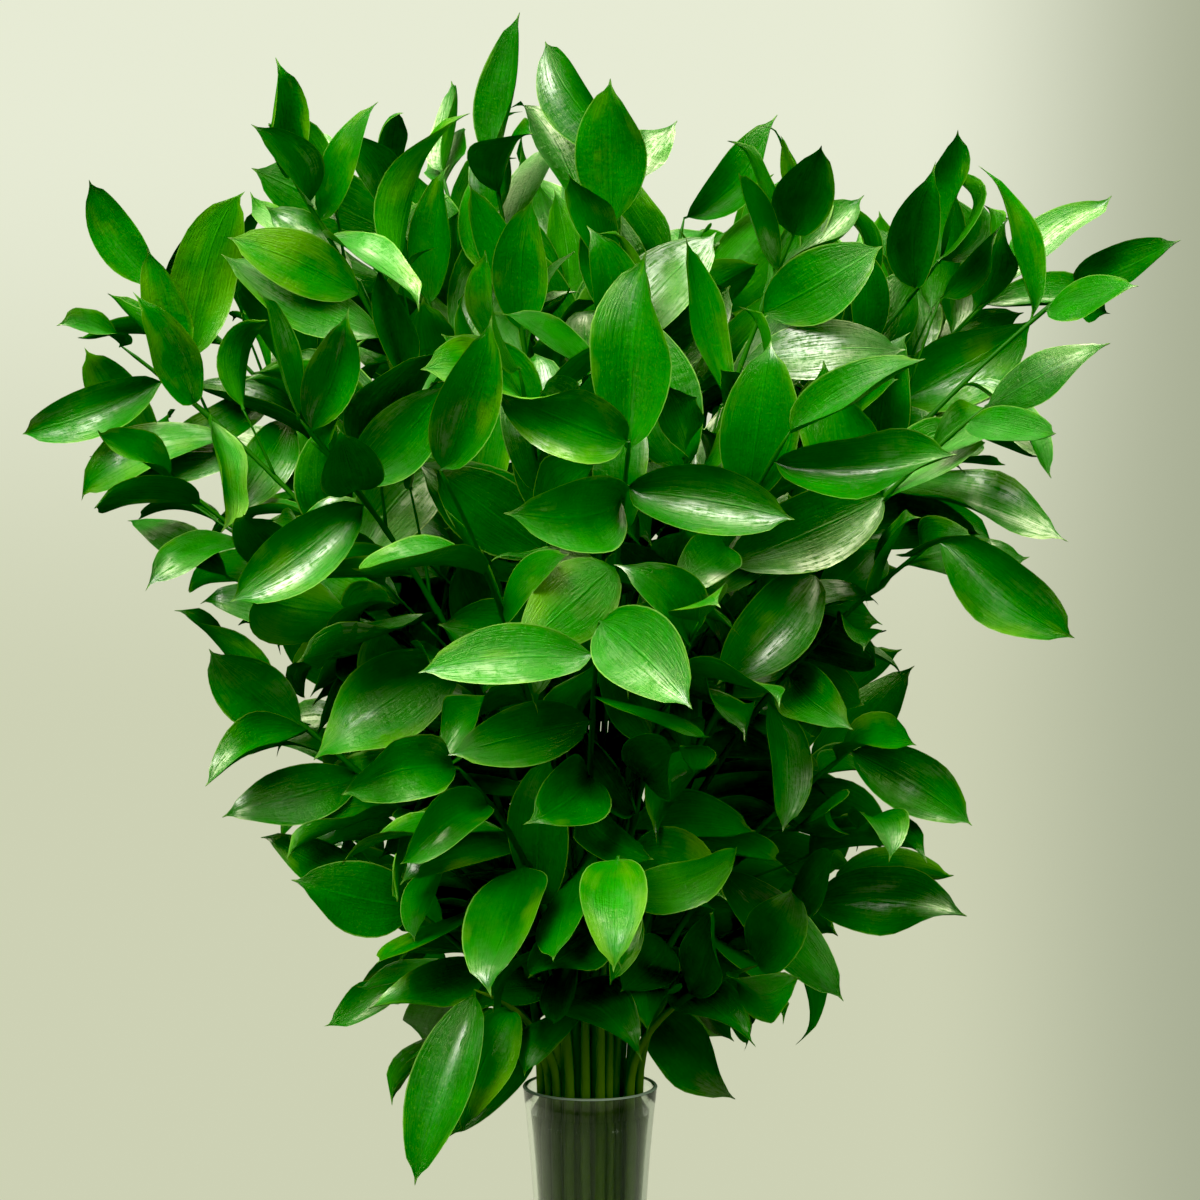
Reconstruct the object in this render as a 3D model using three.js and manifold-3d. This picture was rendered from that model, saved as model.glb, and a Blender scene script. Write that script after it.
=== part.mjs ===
// A bunch of fresh ruscus stems standing in a tapered glass vase of water. Millimetres, +Z up.
// The origin is the middle of the vase's underside, and the bunch's best side faces -Y.
import * as THREE from "three";
import { mergeVertices } from "three/addons/utils/BufferGeometryUtils.js";
import Module from "manifold-3d";

const wasm = await Module();
wasm.setup();

// ---- Vase and water ----
const VASE_HEIGHT = 240;
const RIM_RADIUS = 36;
const CUP_RADIUS = 27.4;       // outside, at the bottom of the cup
const CUP_FLOOR = 30;          // height of the cup's inside bottom
const CUP_STATIONS = [0, 0.45, 0.72, 0.88, 1];  // from the cup's floor to its rim
const GLASS_WALL = 2.6;
const WAIST_HEIGHT = 17;
const WAIST_RADIUS = 20;
const FOOT_RADIUS = 46;
const FOOT_HEIGHT = 5;
const ROUND_SIDES = 24;
const SEAT_GAP = 0.3;          // between pieces that rest on or in each other
const WATER_BELOW_RIM = 14;
const HOLE_CLEARANCE = 0.3;    // round each stem in the water

// ---- Stems ----
const STEM_SIDES = 5;
const STEM_RADIUS = 2.3;       // from its cut foot to the vase's neck
const STEM_TIP_RADIUS = 1.1;
const RING_PITCH = 80;         // along a stem above the neck, between the rings of its tube
const STEM_SPACING = 7.4;      // least, between neighbours in the neck
const NECK_SPREAD = 26.0;      // furthest stem from the axis in the neck
const FOOT_SPREAD = 19.4;      // and on the cup's floor
const STEM_GAP = 1.0;          // least, between the sides of two stems in the air

// ---- Leaves ----
const LEAF_STATIONS = [        // place along the leaf, share of its width, thickness
  { along: 0.10, share: 0.22, thick: 2.4 },
  { along: 0.40, share: 1.00, thick: 1.3 },
  { along: 0.72, share: 0.68, thick: 1.1 },
];
const WIDEST = 0.40;           // where along a leaf its twist is nil
const LEAF_SLENDER = 0.46;     // width over length
const LEAF_SHORTEST = 72;
const LEAF_LONGEST = 112;
const LEAST_LEAN = 20;         // of a leaf's tip towards the viewer, where it shows at full length
const LEAF_GAP = 1.9;          // least, between the middles of two blades
const VASE_GAP = 3;            // least, between a leaf and the vase
const LEAF_PITCH = 27;         // along a stem, between leaves
const BARE_LENGTH = 46;        // of stem above the rim with no leaves
const GOLDEN_ANGLE = 2.39996;
const LEAF_MOST = 400;
const ROOT_STRAYS = [40, 55, 75];  // most, from a root on the elevation to the stem that it takes, in turn
const MAY_HIDE = 2;            // of the 21 points over a leaf, in front of a leaf that shows
const SEED = 125;


// ---- Front elevation ----
// Leaves, stem tips and the outline are laid out on a front elevation in perspective, 1200 units square.
const EYE = new THREE.Vector3(5.3, -1400, 550);
const EYE_PITCH = THREE.MathUtils.degToRad(2.1);
const FOCAL_UNITS = 2642;
const CENTRE_UNIT = 600;
const UNIT = 1400 / FOCAL_UNITS;   // one unit of the elevation at the vase's axis, in mm

// Where each stem ends: its place on the elevation, and its depth from the axis, away from the viewer.
const STEM_TIPS = [
  { at: [120, 345], depth: -20 }, { at: [160, 285], depth: 50 }, { at: [290, 175], depth: -40 },
  { at: [385, 190], depth: 40 }, { at: [440, 170], depth: 120 }, { at: [492, 160], depth: -30 },
  { at: [615, 150], depth: -50 }, { at: [690, 190], depth: 60 }, { at: [800, 220], depth: -40 },
  { at: [950, 250], depth: 10 }, { at: [1010, 280], depth: 80 }, { at: [1075, 285], depth: -30 },
  { at: [1000, 395], depth: -90 }, { at: [950, 530], depth: -60 }, { at: [850, 750], depth: -40 },
  { at: [830, 895], depth: 0 }, { at: [760, 965], depth: -60 }, { at: [170, 480], depth: -40 },
  { at: [270, 700], depth: -30 }, { at: [370, 880], depth: -20 }, { at: [430, 975], depth: 40 },
  { at: [475, 990], depth: -70 }, { at: [630, 440], depth: -190 }, { at: [520, 370], depth: -150 },
  { at: [440, 470], depth: -200 }, { at: [790, 430], depth: -150 }, { at: [300, 420], depth: -130 },
  { at: [600, 610], depth: -210 }, { at: [700, 620], depth: -180 }, { at: [450, 760], depth: -160 },
  { at: [620, 850], depth: -150 }, { at: [560, 230], depth: 190 }, { at: [420, 300], depth: 220 },
  { at: [770, 290], depth: 200 }, { at: [290, 450], depth: 190 }, { at: [900, 430], depth: 190 },
  { at: [500, 560], depth: 240 }, { at: [700, 600], depth: 230 }, { at: [370, 730], depth: 180 },
  { at: [810, 770], depth: 170 }, { at: [600, 860], depth: 180 },
];

// The outline that the foliage keeps to on the elevation, clockwise from its lowest leaf.
const OUTLINE = [
  [415, 1185], [360, 1090], [320, 1030], [375, 1000], [290, 880], [225, 815], [205, 775], [210, 655],
  [150, 575], [90, 555], [70, 485], [15, 440], [60, 325], [75, 195], [135, 200], [230, 190], [270, 65],
  [350, 120], [450, 90], [515, 20], [610, 85], [735, 150], [820, 155], [935, 180], [965, 130], [1020, 175],
  [1105, 195], [1180, 240], [1130, 300], [1100, 340], [1060, 440], [1050, 475], [905, 500], [1070, 540],
  [1075, 640], [970, 560], [860, 630], [910, 670], [915, 690], [850, 720], [970, 825], [860, 770],
  [780, 840], [955, 865], [965, 915], [900, 960], [840, 1000], [820, 1035], [735, 1100], [660, 1060],
  [520, 1060], [470, 1130],
];

// The leaves that show on the front and along the outline: tip, root and visible width on the elevation.
const SHOWN_LEAVES = [
  // outermost
  { tip: [15, 434], root: [136, 408], wide: 57 }, { tip: [1182, 239], root: [1100, 300], wide: 50 },
  { tip: [1109, 191], root: [1061, 264], wide: 45 }, { tip: [968, 917], root: [810, 906], wide: 80 },
  { tip: [1073, 643], root: [967, 543], wide: 85 }, { tip: [412, 1186], root: [471, 1003], wide: 65 },
  { tip: [515, 13], root: [490, 168], wide: 38 }, { tip: [279, 62], root: [310, 174], wide: 60 },
  { tip: [973, 826], root: [856, 757], wide: 70 }, { tip: [84, 180], root: [135, 265], wide: 55 },
  // upper left
  { tip: [134, 191], root: [165, 249], wide: 45 }, { tip: [197, 228], root: [193, 318], wide: 58 },
  { tip: [149, 253], root: [153, 406], wide: 60 }, { tip: [92, 268], root: [138, 400], wide: 45 },
  { tip: [57, 325], root: [119, 352], wide: 14 }, { tip: [92, 438], root: [138, 421], wide: 28 },
  { tip: [155, 452], root: [264, 396], wide: 45 }, { tip: [67, 484], root: [207, 471], wide: 40 },
  { tip: [90, 555], root: [145, 497], wide: 28 }, { tip: [222, 532], root: [140, 488], wide: 30 },
  { tip: [147, 574], root: [222, 574], wide: 30 }, { tip: [258, 126], root: [250, 245], wide: 40 },
  { tip: [363, 100], root: [333, 214], wide: 35 }, { tip: [352, 132], root: [364, 214], wide: 45 },
  { tip: [390, 100], root: [390, 191], wide: 24 }, { tip: [457, 83], root: [406, 184], wide: 20 },
  { tip: [457, 124], root: [408, 195], wide: 40 }, { tip: [600, 90], root: [513, 161], wide: 30 },
  { tip: [251, 168], root: [333, 264], wide: 75 }, { tip: [228, 237], root: [337, 306], wide: 60 },
  { tip: [423, 306], root: [346, 222], wide: 28 }, { tip: [446, 165], root: [432, 302], wide: 50 },
  { tip: [469, 184], root: [463, 329], wide: 38 }, { tip: [530, 203], root: [513, 333], wide: 62 },
  { tip: [377, 270], root: [417, 367], wide: 50 }, { tip: [346, 314], root: [333, 406], wide: 50 },
  { tip: [270, 293], root: [268, 402], wide: 20 }, { tip: [220, 260], root: [264, 398], wide: 55 },
  { tip: [145, 304], root: [214, 383], wide: 55 }, { tip: [492, 337], root: [459, 444], wide: 60 },
  { tip: [447, 383], root: [358, 478], wide: 65 }, { tip: [492, 390], root: [610, 440], wide: 70 },
  { tip: [433, 469], root: [540, 553], wide: 70 }, { tip: [507, 511], root: [620, 500], wide: 75 },
  { tip: [226, 519], root: [281, 425], wide: 55 }, { tip: [337, 425], root: [346, 501], wide: 60 },
  { tip: [230, 602], root: [345, 524], wide: 75 }, { tip: [354, 566], root: [406, 478], wide: 80 },
  // upper right
  { tip: [610, 80], root: [623, 230], wide: 70 }, { tip: [768, 119], root: [657, 208], wide: 55 },
  { tip: [742, 172], root: [726, 245], wide: 25 }, { tip: [821, 154], root: [799, 241], wide: 60 },
  { tip: [784, 132], root: [820, 218], wide: 20 }, { tip: [935, 179], root: [837, 233], wide: 60 },
  { tip: [880, 245], root: [808, 329], wide: 75 }, { tip: [929, 193], root: [944, 325], wide: 50 },
  { tip: [963, 128], root: [986, 268], wide: 28 }, { tip: [1002, 166], root: [990, 271], wide: 30 },
  { tip: [1140, 286], root: [1030, 297], wide: 38 }, { tip: [1117, 306], root: [985, 310], wide: 40 },
  { tip: [1036, 320], root: [925, 432], wide: 95 }, { tip: [1106, 338], root: [1006, 425], wide: 45 },
  { tip: [1063, 443], root: [988, 440], wide: 40 }, { tip: [1053, 478], root: [1029, 452], wide: 22 },
  { tip: [927, 360], root: [795, 367], wide: 40 }, { tip: [898, 379], root: [799, 402], wide: 35 },
  { tip: [955, 430], root: [803, 425], wide: 45 }, { tip: [960, 456], root: [788, 478], wide: 75 },
  { tip: [864, 450], root: [784, 440], wide: 50 }, { tip: [694, 238], root: [780, 417], wide: 35 },
  { tip: [644, 254], root: [638, 455], wide: 82 }, { tip: [580, 180], root: [619, 291], wide: 35 },
  { tip: [717, 365], root: [730, 429], wide: 45 }, { tip: [648, 522], root: [650, 460], wide: 72 },
  { tip: [794, 520], root: [665, 497], wide: 80 }, { tip: [722, 566], root: [890, 494], wide: 80 },
  { tip: [670, 585], root: [738, 551], wide: 50 }, { tip: [1068, 543], root: [914, 524], wide: 45 },
  { tip: [971, 530], root: [912, 541], wide: 24 },
  // lower left
  { tip: [200, 596], root: [299, 642], wide: 45 }, { tip: [210, 651], root: [315, 715], wide: 75 },
  { tip: [313, 760], root: [435, 672], wide: 85 }, { tip: [228, 736], root: [290, 740], wide: 24 },
  { tip: [206, 778], root: [301, 741], wide: 42 }, { tip: [220, 816], root: [334, 810], wide: 60 },
  { tip: [303, 816], root: [380, 740], wide: 60 }, { tip: [340, 795], root: [452, 772], wide: 60 },
  { tip: [287, 862], root: [376, 835], wide: 28 }, { tip: [290, 879], root: [395, 948], wide: 85 },
  { tip: [329, 1034], root: [399, 960], wide: 30 }, { tip: [373, 1001], root: [475, 975], wide: 50 },
  { tip: [461, 1132], root: [517, 1009], wide: 80 }, { tip: [399, 868], root: [470, 825], wide: 50 },
  { tip: [410, 937], root: [433, 871], wide: 30 }, { tip: [418, 672], root: [575, 661], wide: 55 },
  { tip: [516, 653], root: [615, 561], wide: 80 }, { tip: [691, 707], root: [590, 619], wide: 85 },
  { tip: [449, 755], root: [582, 722], wide: 58 }, { tip: [525, 824], root: [607, 780], wide: 68 },
  { tip: [655, 860], root: [582, 810], wide: 50 }, { tip: [682, 747], root: [609, 776], wide: 75 },
  { tip: [653, 818], root: [724, 764], wide: 40 }, { tip: [619, 961], root: [605, 862], wide: 65 },
  { tip: [620, 992], root: [686, 956], wide: 55 }, { tip: [561, 1032], root: [590, 958], wide: 28 },
  { tip: [736, 1103], root: [644, 998], wide: 75 }, { tip: [707, 915], root: [686, 996], wide: 45 },
  { tip: [747, 1036], root: [686, 998], wide: 60 },
  // lower right
  { tip: [715, 684], root: [848, 600], wide: 85 }, { tip: [844, 722], root: [800, 680], wide: 60 },
  { tip: [913, 665], root: [848, 737], wide: 65 }, { tip: [917, 747], root: [820, 740], wide: 30 },
  { tip: [776, 833], root: [863, 776], wide: 45 }, { tip: [955, 863], root: [814, 902], wide: 70 },
  { tip: [833, 852], root: [783, 898], wide: 40 }, { tip: [785, 891], root: [741, 948], wide: 50 },
  { tip: [843, 1002], root: [795, 929], wide: 55 }, { tip: [820, 1040], root: [780, 960], wide: 25 },
  { tip: [791, 990], root: [741, 1021], wide: 35 },
];

const UP = new THREE.Vector3(0, 0, 1);
const SIDEWAYS = new THREE.Vector3(1, 0, 0);
const FORWARD = new THREE.Vector3(0, Math.cos(EYE_PITCH), -Math.sin(EYE_PITCH));
const FRAME_UP = new THREE.Vector3(0, Math.sin(EYE_PITCH), Math.cos(EYE_PITCH));

// ---- Small helpers ----

// A number from 0 to 1 that depends only on the whole numbers given.
function draw(...keys) {
  let hash = 2166136261;
  for (const key of keys) {
    hash = Math.imul(hash ^ (key + SEED), 16777619);
    hash = Math.imul(hash ^ (hash >>> 15), 2246822519);
  }
  hash ^= hash >>> 13;
  return (hash >>> 0) / 2 ** 32;
}

const between = (low, high, share) => low + (high - low) * share;
const along = (from, direction, distance) => from.clone().addScaledVector(direction, distance);

// The part of a vector that is square to a unit vector, at unit length.
function squareTo(vector, unit) {
  return vector.clone().addScaledVector(unit, -vector.dot(unit)).normalize();
}

function toElevation(point) {
  const seen = point.clone().sub(EYE);
  const scale = FOCAL_UNITS / seen.dot(FORWARD);
  return new THREE.Vector2(CENTRE_UNIT + seen.x * scale, CENTRE_UNIT - seen.dot(FRAME_UP) * scale);
}

function fromElevation([across, down], depth) {
  const ray = FORWARD.clone().multiplyScalar(FOCAL_UNITS);
  ray.addScaledVector(SIDEWAYS, across - CENTRE_UNIT).addScaledVector(FRAME_UP, CENTRE_UNIT - down);
  return along(EYE, ray, (depth - EYE.y) / ray.y);
}

// Whether a place on the elevation lies inside a closed outline on it.
function isInside({ x, y }, outline) {
  let inside = false;
  outline.forEach(([toX, toY], place) => {
    const [fromX, fromY] = outline.at(place - 1);
    if ((toY > y) !== (fromY > y) && x < toX + (fromX - toX) * (y - toY) / (fromY - toY)) inside = !inside;
  });
  return inside;
}

// Two triangles on four corners, counterclockwise from the front, with a fold that bulges to the front.
function folded([a, b, c, d], pointOf) {
  const [from, ...ends] = [a, b, c, d].map(pointOf);
  const [toB, toC, toD] = ends.map((end) => end.clone().sub(from));
  return toB.cross(toC).dot(toD) < 0 ? [[a, b, c], [a, c, d]] : [[a, b, d], [b, c, d]];
}

// A closed body through rings of points. The first and the last ring are single points.
// Each of its sides bulges outwards, so that the two faces of a twisted blade stay apart.
function loft(rings) {
  const points = rings.flat();
  const starts = rings.map((ring, place) => rings.slice(0, place).flat().length);
  const faces = [];
  for (let place = 1; place < rings.length; place += 1) {
    const [lower, upper] = [rings[place - 1], rings[place]];
    const sides = Math.max(lower.length, upper.length);
    for (let side = 0; side < sides; side += 1) {
      const [a, b] = [side, side + 1].map((corner) => starts[place - 1] + (corner % lower.length));
      const [d, c] = [side, side + 1].map((corner) => starts[place] + (corner % upper.length));
      if (lower.length === 1) faces.push([a, c, d]);
      else if (upper.length === 1) faces.push([a, b, c]);
      else faces.push(...folded([a, b, c, d], (corner) => points[corner]));
    }
  }
  const volume = faces.reduce((sum, [a, b, c]) => (
    sum + points[a].dot(new THREE.Vector3().crossVectors(points[b], points[c]))), 0);
  if (volume < 0) return loft(rings.map((ring) => [...ring].reverse()));
  const geometry = new THREE.BufferGeometry().setFromPoints(points);
  return geometry.setIndex(faces.flat());
}

function toSolid(geometry) {
  const bare = geometry.clone();
  bare.deleteAttribute("normal");
  bare.deleteAttribute("uv");
  const merged = mergeVertices(bare);
  const vertProperties = new Float32Array(merged.attributes.position.array);
  const triVerts = new Uint32Array(merged.index.array);
  return new wasm.Manifold(new wasm.Mesh({ numProp: 3, vertProperties, triVerts }));
}

function toGeometry(solid) {
  const { vertProperties, triVerts } = solid.getMesh();
  const geometry = new THREE.BufferGeometry();
  geometry.setAttribute("position", new THREE.BufferAttribute(new Float32Array(vertProperties), 3));
  return geometry.setIndex([...triVerts]);
}

// A body of revolution about Z, from a closed profile of [radius, height] points.
function turned(profile) {
  const points = profile.map(([radius, height]) => new THREE.Vector2(radius, height));
  return new THREE.LatheGeometry(points, ROUND_SIDES).rotateX(Math.PI / 2);
}

// ---- Vase and water ----

// The cup's outside radius flares towards the rim with the cube of the height.
const cupRadius = (station) => between(CUP_RADIUS, RIM_RADIUS, station ** 3);
const cupHeight = (station) => between(CUP_FLOOR, VASE_HEIGHT, station);
const stationAt = (height) => THREE.MathUtils.inverseLerp(CUP_FLOOR, VASE_HEIGHT, height);
const cupProfile = (stations, inset) => (
  stations.map((station) => [cupRadius(station) - inset, cupHeight(station)]));

function vaseGeometry() {
  const foot = [
    [0, 0], [FOOT_RADIUS, 0], [FOOT_RADIUS, FOOT_HEIGHT * 0.6], [FOOT_RADIUS - 2, FOOT_HEIGHT],
    [WAIST_RADIUS + 9, FOOT_HEIGHT + 3], [WAIST_RADIUS, WAIST_HEIGHT], [CUP_RADIUS - 4, CUP_FLOOR - 4],
  ];
  const outside = cupProfile(CUP_STATIONS, 0);
  const inside = cupProfile(CUP_STATIONS, GLASS_WALL).reverse();
  const solid = turned([...foot, ...outside, ...inside, [0, CUP_FLOOR], [0, 0]]);
  return toGeometry(toSolid(solid));
}

function waterGeometry(stems) {
  const [bottom, top] = [CUP_FLOOR + SEAT_GAP, VASE_HEIGHT - WATER_BELOW_RIM];
  const stations = [stationAt(bottom), ...CUP_STATIONS.slice(1, -1), stationAt(top)];
  const side = cupProfile(stations, GLASS_WALL + SEAT_GAP);
  const body = toSolid(turned([[0, bottom], ...side, [0, top], [0, bottom]]));
  const reach = [bottom - 5, top + 5];
  const holes = stems.map((stem) => {
    const rings = reach.map((height) => stemRingInCup(stem, height, HOLE_CLEARANCE));
    const [lower, upper] = reach.map((height) => placeInCup(stem, height));
    return toSolid(loft([[lower], ...rings, [upper]]));
  });
  return toGeometry(body.subtract(wasm.Manifold.union(holes)));
}

// ---- Stems ----

// Where a stem's centre line passes a height inside the vase, where it is straight.
function placeInCup(stem, height) {
  const spread = THREE.MathUtils.mapLinear(height, CUP_FLOOR, VASE_HEIGHT, FOOT_SPREAD / NECK_SPREAD, 1);
  return new THREE.Vector3(stem.neck.x * spread, stem.neck.y * spread, height);
}

function ringAround(centre, across, over, radius) {
  return Array.from({ length: STEM_SIDES }, (_, side) => {
    const angle = (side / STEM_SIDES) * 2 * Math.PI;
    return along(along(centre, across, radius * Math.cos(angle)), over, radius * Math.sin(angle));
  });
}

function stemRingInCup(stem, height, clearance) {
  const across = new THREE.Vector3(0, -1, 0);
  return ringAround(placeInCup(stem, height), SIDEWAYS, across, STEM_RADIUS + clearance);
}

// Sets the stems out in the vase's neck: on the side that each leans to, and apart from its neighbours.
function settleInNeck(tips) {
  const necks = tips.map((tip, number) => {
    const lean = Math.atan2(Math.hypot(tip.x, tip.y), tip.z - VASE_HEIGHT);
    const radius = NECK_SPREAD * Math.min(1, lean);
    const azimuth = Math.atan2(tip.y, tip.x) + 0.02 * draw(number, 1);
    return new THREE.Vector2(radius * Math.cos(azimuth), radius * Math.sin(azimuth));
  });
  for (let round = 0; round < 400; round += 1) {
    necks.forEach((neck, number) => {
      necks.slice(number + 1).forEach((other) => {
        const apart = neck.clone().sub(other);
        const push = (STEM_SPACING - apart.length()) / 2;
        if (push <= 0) return;
        apart.normalize();
        neck.addScaledVector(apart, push);
        other.addScaledVector(apart, -push);
      });
      neck.clampLength(0, NECK_SPREAD);
    });
  }
  return necks.map((neck) => new THREE.Vector3(neck.x, neck.y, VASE_HEIGHT));
}

// The stem's line in the air: it leaves the neck along its straight part and bows over to its tip.
function stemLine(neck, tip, stiffness) {
  const rise = neck.clone().sub(placeInCup({ neck }, CUP_FLOOR)).normalize();
  const shoulder = along(neck, rise, neck.distanceTo(tip) * stiffness);
  return new THREE.QuadraticBezierCurve3(neck, shoulder, tip);
}

// The stem above the neck runs straight between the middles of its rings.
function ringMiddles(line) {
  return line.getSpacedPoints(Math.max(3, Math.round(line.getLength() / RING_PITCH)));
}

function stemPieces(line) {
  const points = ringMiddles(line);
  return points.slice(1).map((point, place) => blade([points[place], point, point]));
}

function placeOnStem({ line }, share) {
  const points = ringMiddles(line);
  const place = Math.min(points.length - 2, Math.floor(share * (points.length - 1)));
  return points[place].clone().lerp(points[place + 1], share * (points.length - 1) - place);
}

function makeStems() {
  const tips = STEM_TIPS.map(({ at, depth }) => fromElevation(at, depth));
  const necks = settleInNeck(tips);
  const stems = [];
  tips.forEach((tip, number) => {
    const lines = [0.5, 0.42, 0.6, 0.34, 0.68].map((stiffness) => stemLine(necks[number], tip, stiffness));
    const choices = lines.map((line) => ({ line, pieces: stemPieces(line) }));
    const leastApart = 2 * STEM_RADIUS + STEM_GAP;
    const isApart = ({ pieces }) => stems.every((other) => (
      leastGap(pieces.slice(1), other.pieces, leastApart) >= leastApart));
    const clear = choices.find(isApart) ?? choices[0];
    stems.push({ number, neck: necks[number], tip, ...clear, leaves: [] });
  });
  return stems;
}

const stemRadiusAt = (share) => between(STEM_RADIUS, STEM_TIP_RADIUS, share);

function stemGeometry(stem) {
  const foot = CUP_FLOOR + SEAT_GAP;
  const rings = [stemRingInCup(stem, foot, 0), stemRingInCup(stem, VASE_HEIGHT, 0)];
  // The rings above the neck start round from the same side as the ring in the neck.
  ringMiddles(stem.line).slice(1).forEach((middle, place, middles) => {
    const share = (place + 1) / middles.length;
    const growth = stem.line.getTangentAt(share);
    const across = squareTo(SIDEWAYS, growth);
    const over = new THREE.Vector3().crossVectors(across, growth);
    rings.push(ringAround(middle, across, over, stemRadiusAt(share)));
  });
  const end = along(stem.tip, stem.line.getTangentAt(1), STEM_TIP_RADIUS);
  return loft([[placeInCup(stem, foot)], ...rings, [end]]);
}

// ---- Leaves ----

// A leaf is a blade from its root on the stem's centre line to its tip, bowed towards its upper side.
function leafFrame(leaf, share) {
  const chord = leaf.tip.clone().sub(leaf.root);
  const upper = squareTo(leaf.upper, chord.clone().normalize());
  const centre = along(along(leaf.root, chord, share), upper, 4 * leaf.bow * share * (1 - share));
  const heading = chord.addScaledVector(upper, 4 * leaf.bow * (1 - 2 * share)).normalize();
  const turn = leaf.twist * (share - WIDEST);
  const normal = squareTo(upper, heading).applyAxisAngle(heading, turn);
  return { centre, normal, side: new THREE.Vector3().crossVectors(heading, normal) };
}

function leafRings(leaf) {
  return LEAF_STATIONS.map(({ along: share, share: widthShare, thick }) => {
    const { centre, normal, side } = leafFrame(leaf, share);
    const half = leaf.width * widthShare / 2;
    return [along(centre, side, half), along(centre, side, -half), along(centre, normal, -thick)];
  });
}

function leafGeometry(leaf) {
  return loft([[leaf.root], ...leafRings(leaf), [leaf.tip]]);
}

// A triangle with its box and its three edges, for measuring gaps.
function blade([a, b, c]) {
  const edges = [new THREE.Line3(a, b), new THREE.Line3(b, c), new THREE.Line3(c, a)];
  return { triangle: new THREE.Triangle(a, b, c), edges, box: new THREE.Box3().setFromPoints([a, b, c]) };
}

// The leaf's upper face as six flat pieces, from the root outwards.
function leafPieces(leaf) {
  const rings = leafRings(leaf);
  const [rootLeft, rootRight] = rings[0];
  const [tipLeft, tipRight] = rings.at(-1);
  const middle = rings.slice(1).flatMap(([left, right], place) => {
    const [fromLeft, fromRight] = rings[place];
    return folded([fromRight, fromLeft, left, right], (corner) => corner);
  });
  return [[leaf.root, rootLeft, rootRight], ...middle, [tipRight, tipLeft, leaf.tip]].map(blade);
}

const nearestPoint = new THREE.Vector3();
const edgeRay = new THREE.Ray();

function pierces(edge, { a, b, c }) {
  edge.delta(edgeRay.direction);
  const length = edgeRay.direction.length();
  if (length === 0) return false;
  edgeRay.direction.divideScalar(length);
  edgeRay.origin.copy(edge.start);
  const hit = edgeRay.intersectTriangle(a, b, c, false, nearestPoint);
  return hit !== null && hit.distanceTo(edge.start) <= length;
}

function pieceGap(one, other) {
  let gap = Infinity;
  for (const [first, second] of [[one, other], [other, one]]) {
    for (const edge of first.edges) {
      if (pierces(edge, second.triangle)) return 0;
      second.triangle.closestPointToPoint(edge.start, nearestPoint);
      gap = Math.min(gap, nearestPoint.distanceTo(edge.start));
    }
  }
  for (const first of one.edges) {
    for (const second of other.edges) gap = Math.min(gap, Math.sqrt(first.distanceSqToLine3(second)));
  }
  return gap;
}

// The least gap between two lists of pieces, up to a limit beyond which it doesn't matter.
function leastGap(pieces, others, limit) {
  let gap = limit;
  for (const piece of pieces) {
    const room = piece.box.clone().expandByScalar(gap);
    for (const other of others) {
      if (room.intersectsBox(other.box)) gap = Math.min(gap, pieceGap(piece, other));
    }
  }
  return gap;
}

// Points along both edges and the middle of a leaf.
function pointsOver(leaf) {
  return [0.1, 0.25, 0.4, 0.55, 0.7, 0.85, 1].flatMap((share) => {
    const { centre, side } = leafFrame(leaf, share);
    const half = leaf.width / 2 * Math.min(1, 2.2 * (1 - share));
    return [-half, 0, half].map((offset) => along(centre, side, offset));
  });
}

const clearOfVase = (leaf) => pointsOver(leaf).every((point) => (
  point.z > VASE_HEIGHT + VASE_GAP || Math.hypot(point.x, point.y) > RIM_RADIUS + VASE_GAP));

// Whether a leaf has room among the leaves and stems that are there.
function hasRoom(leaf, stems) {
  if (!clearOfVase(leaf)) return false;
  const pieces = leafPieces(leaf);
  const box = new THREE.Box3();
  pieces.forEach((piece) => box.union(piece.box));
  const room = box.clone().expandByScalar(LEAF_GAP);
  leaf.pieces = pieces;
  leaf.box = box;
  return stems.every((stem) => {
    const facing = stem === leaf.stem ? pieces.slice(3) : pieces;
    const stemGap = STEM_RADIUS + LEAF_GAP / 2 + 0.4;
    if (leastGap(facing, stem.pieces, stemGap) < stemGap) return false;
    return stem.leaves.every((other) => (
      !room.intersectsBox(other.box) || leastGap(pieces, other.pieces, LEAF_GAP) >= LEAF_GAP));
  });
}

// Adds the first of the leaves that has room.
function addFirstWithRoom(candidates, stems) {
  const leaf = candidates.find((candidate) => hasRoom(candidate, stems));
  if (leaf) leaf.stem.leaves.push(leaf);
  return Boolean(leaf);
}

// The places along the stems that look nearest to a point of the elevation, nearer stems first.
function placesNear(mark, stems, mostStray) {
  const target = new THREE.Vector2(...mark);
  return stems.map((stem) => {
    const reach = stem.line.getLength();
    let best = { cost: Infinity };
    for (let distance = BARE_LENGTH * 0.5; distance < reach; distance += 6) {
      const share = distance / reach;
      const point = placeOnStem(stem, share);
      const stray = toElevation(point).distanceTo(target) * UNIT;
      const cost = stray + 0.10 * (point.y + 200);
      if (stray < mostStray && cost < best.cost) best = { cost, stem, share, point };
    }
    return best;
  }).filter(({ stem }) => stem).sort((one, other) => one.cost - other.cost);
}

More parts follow.
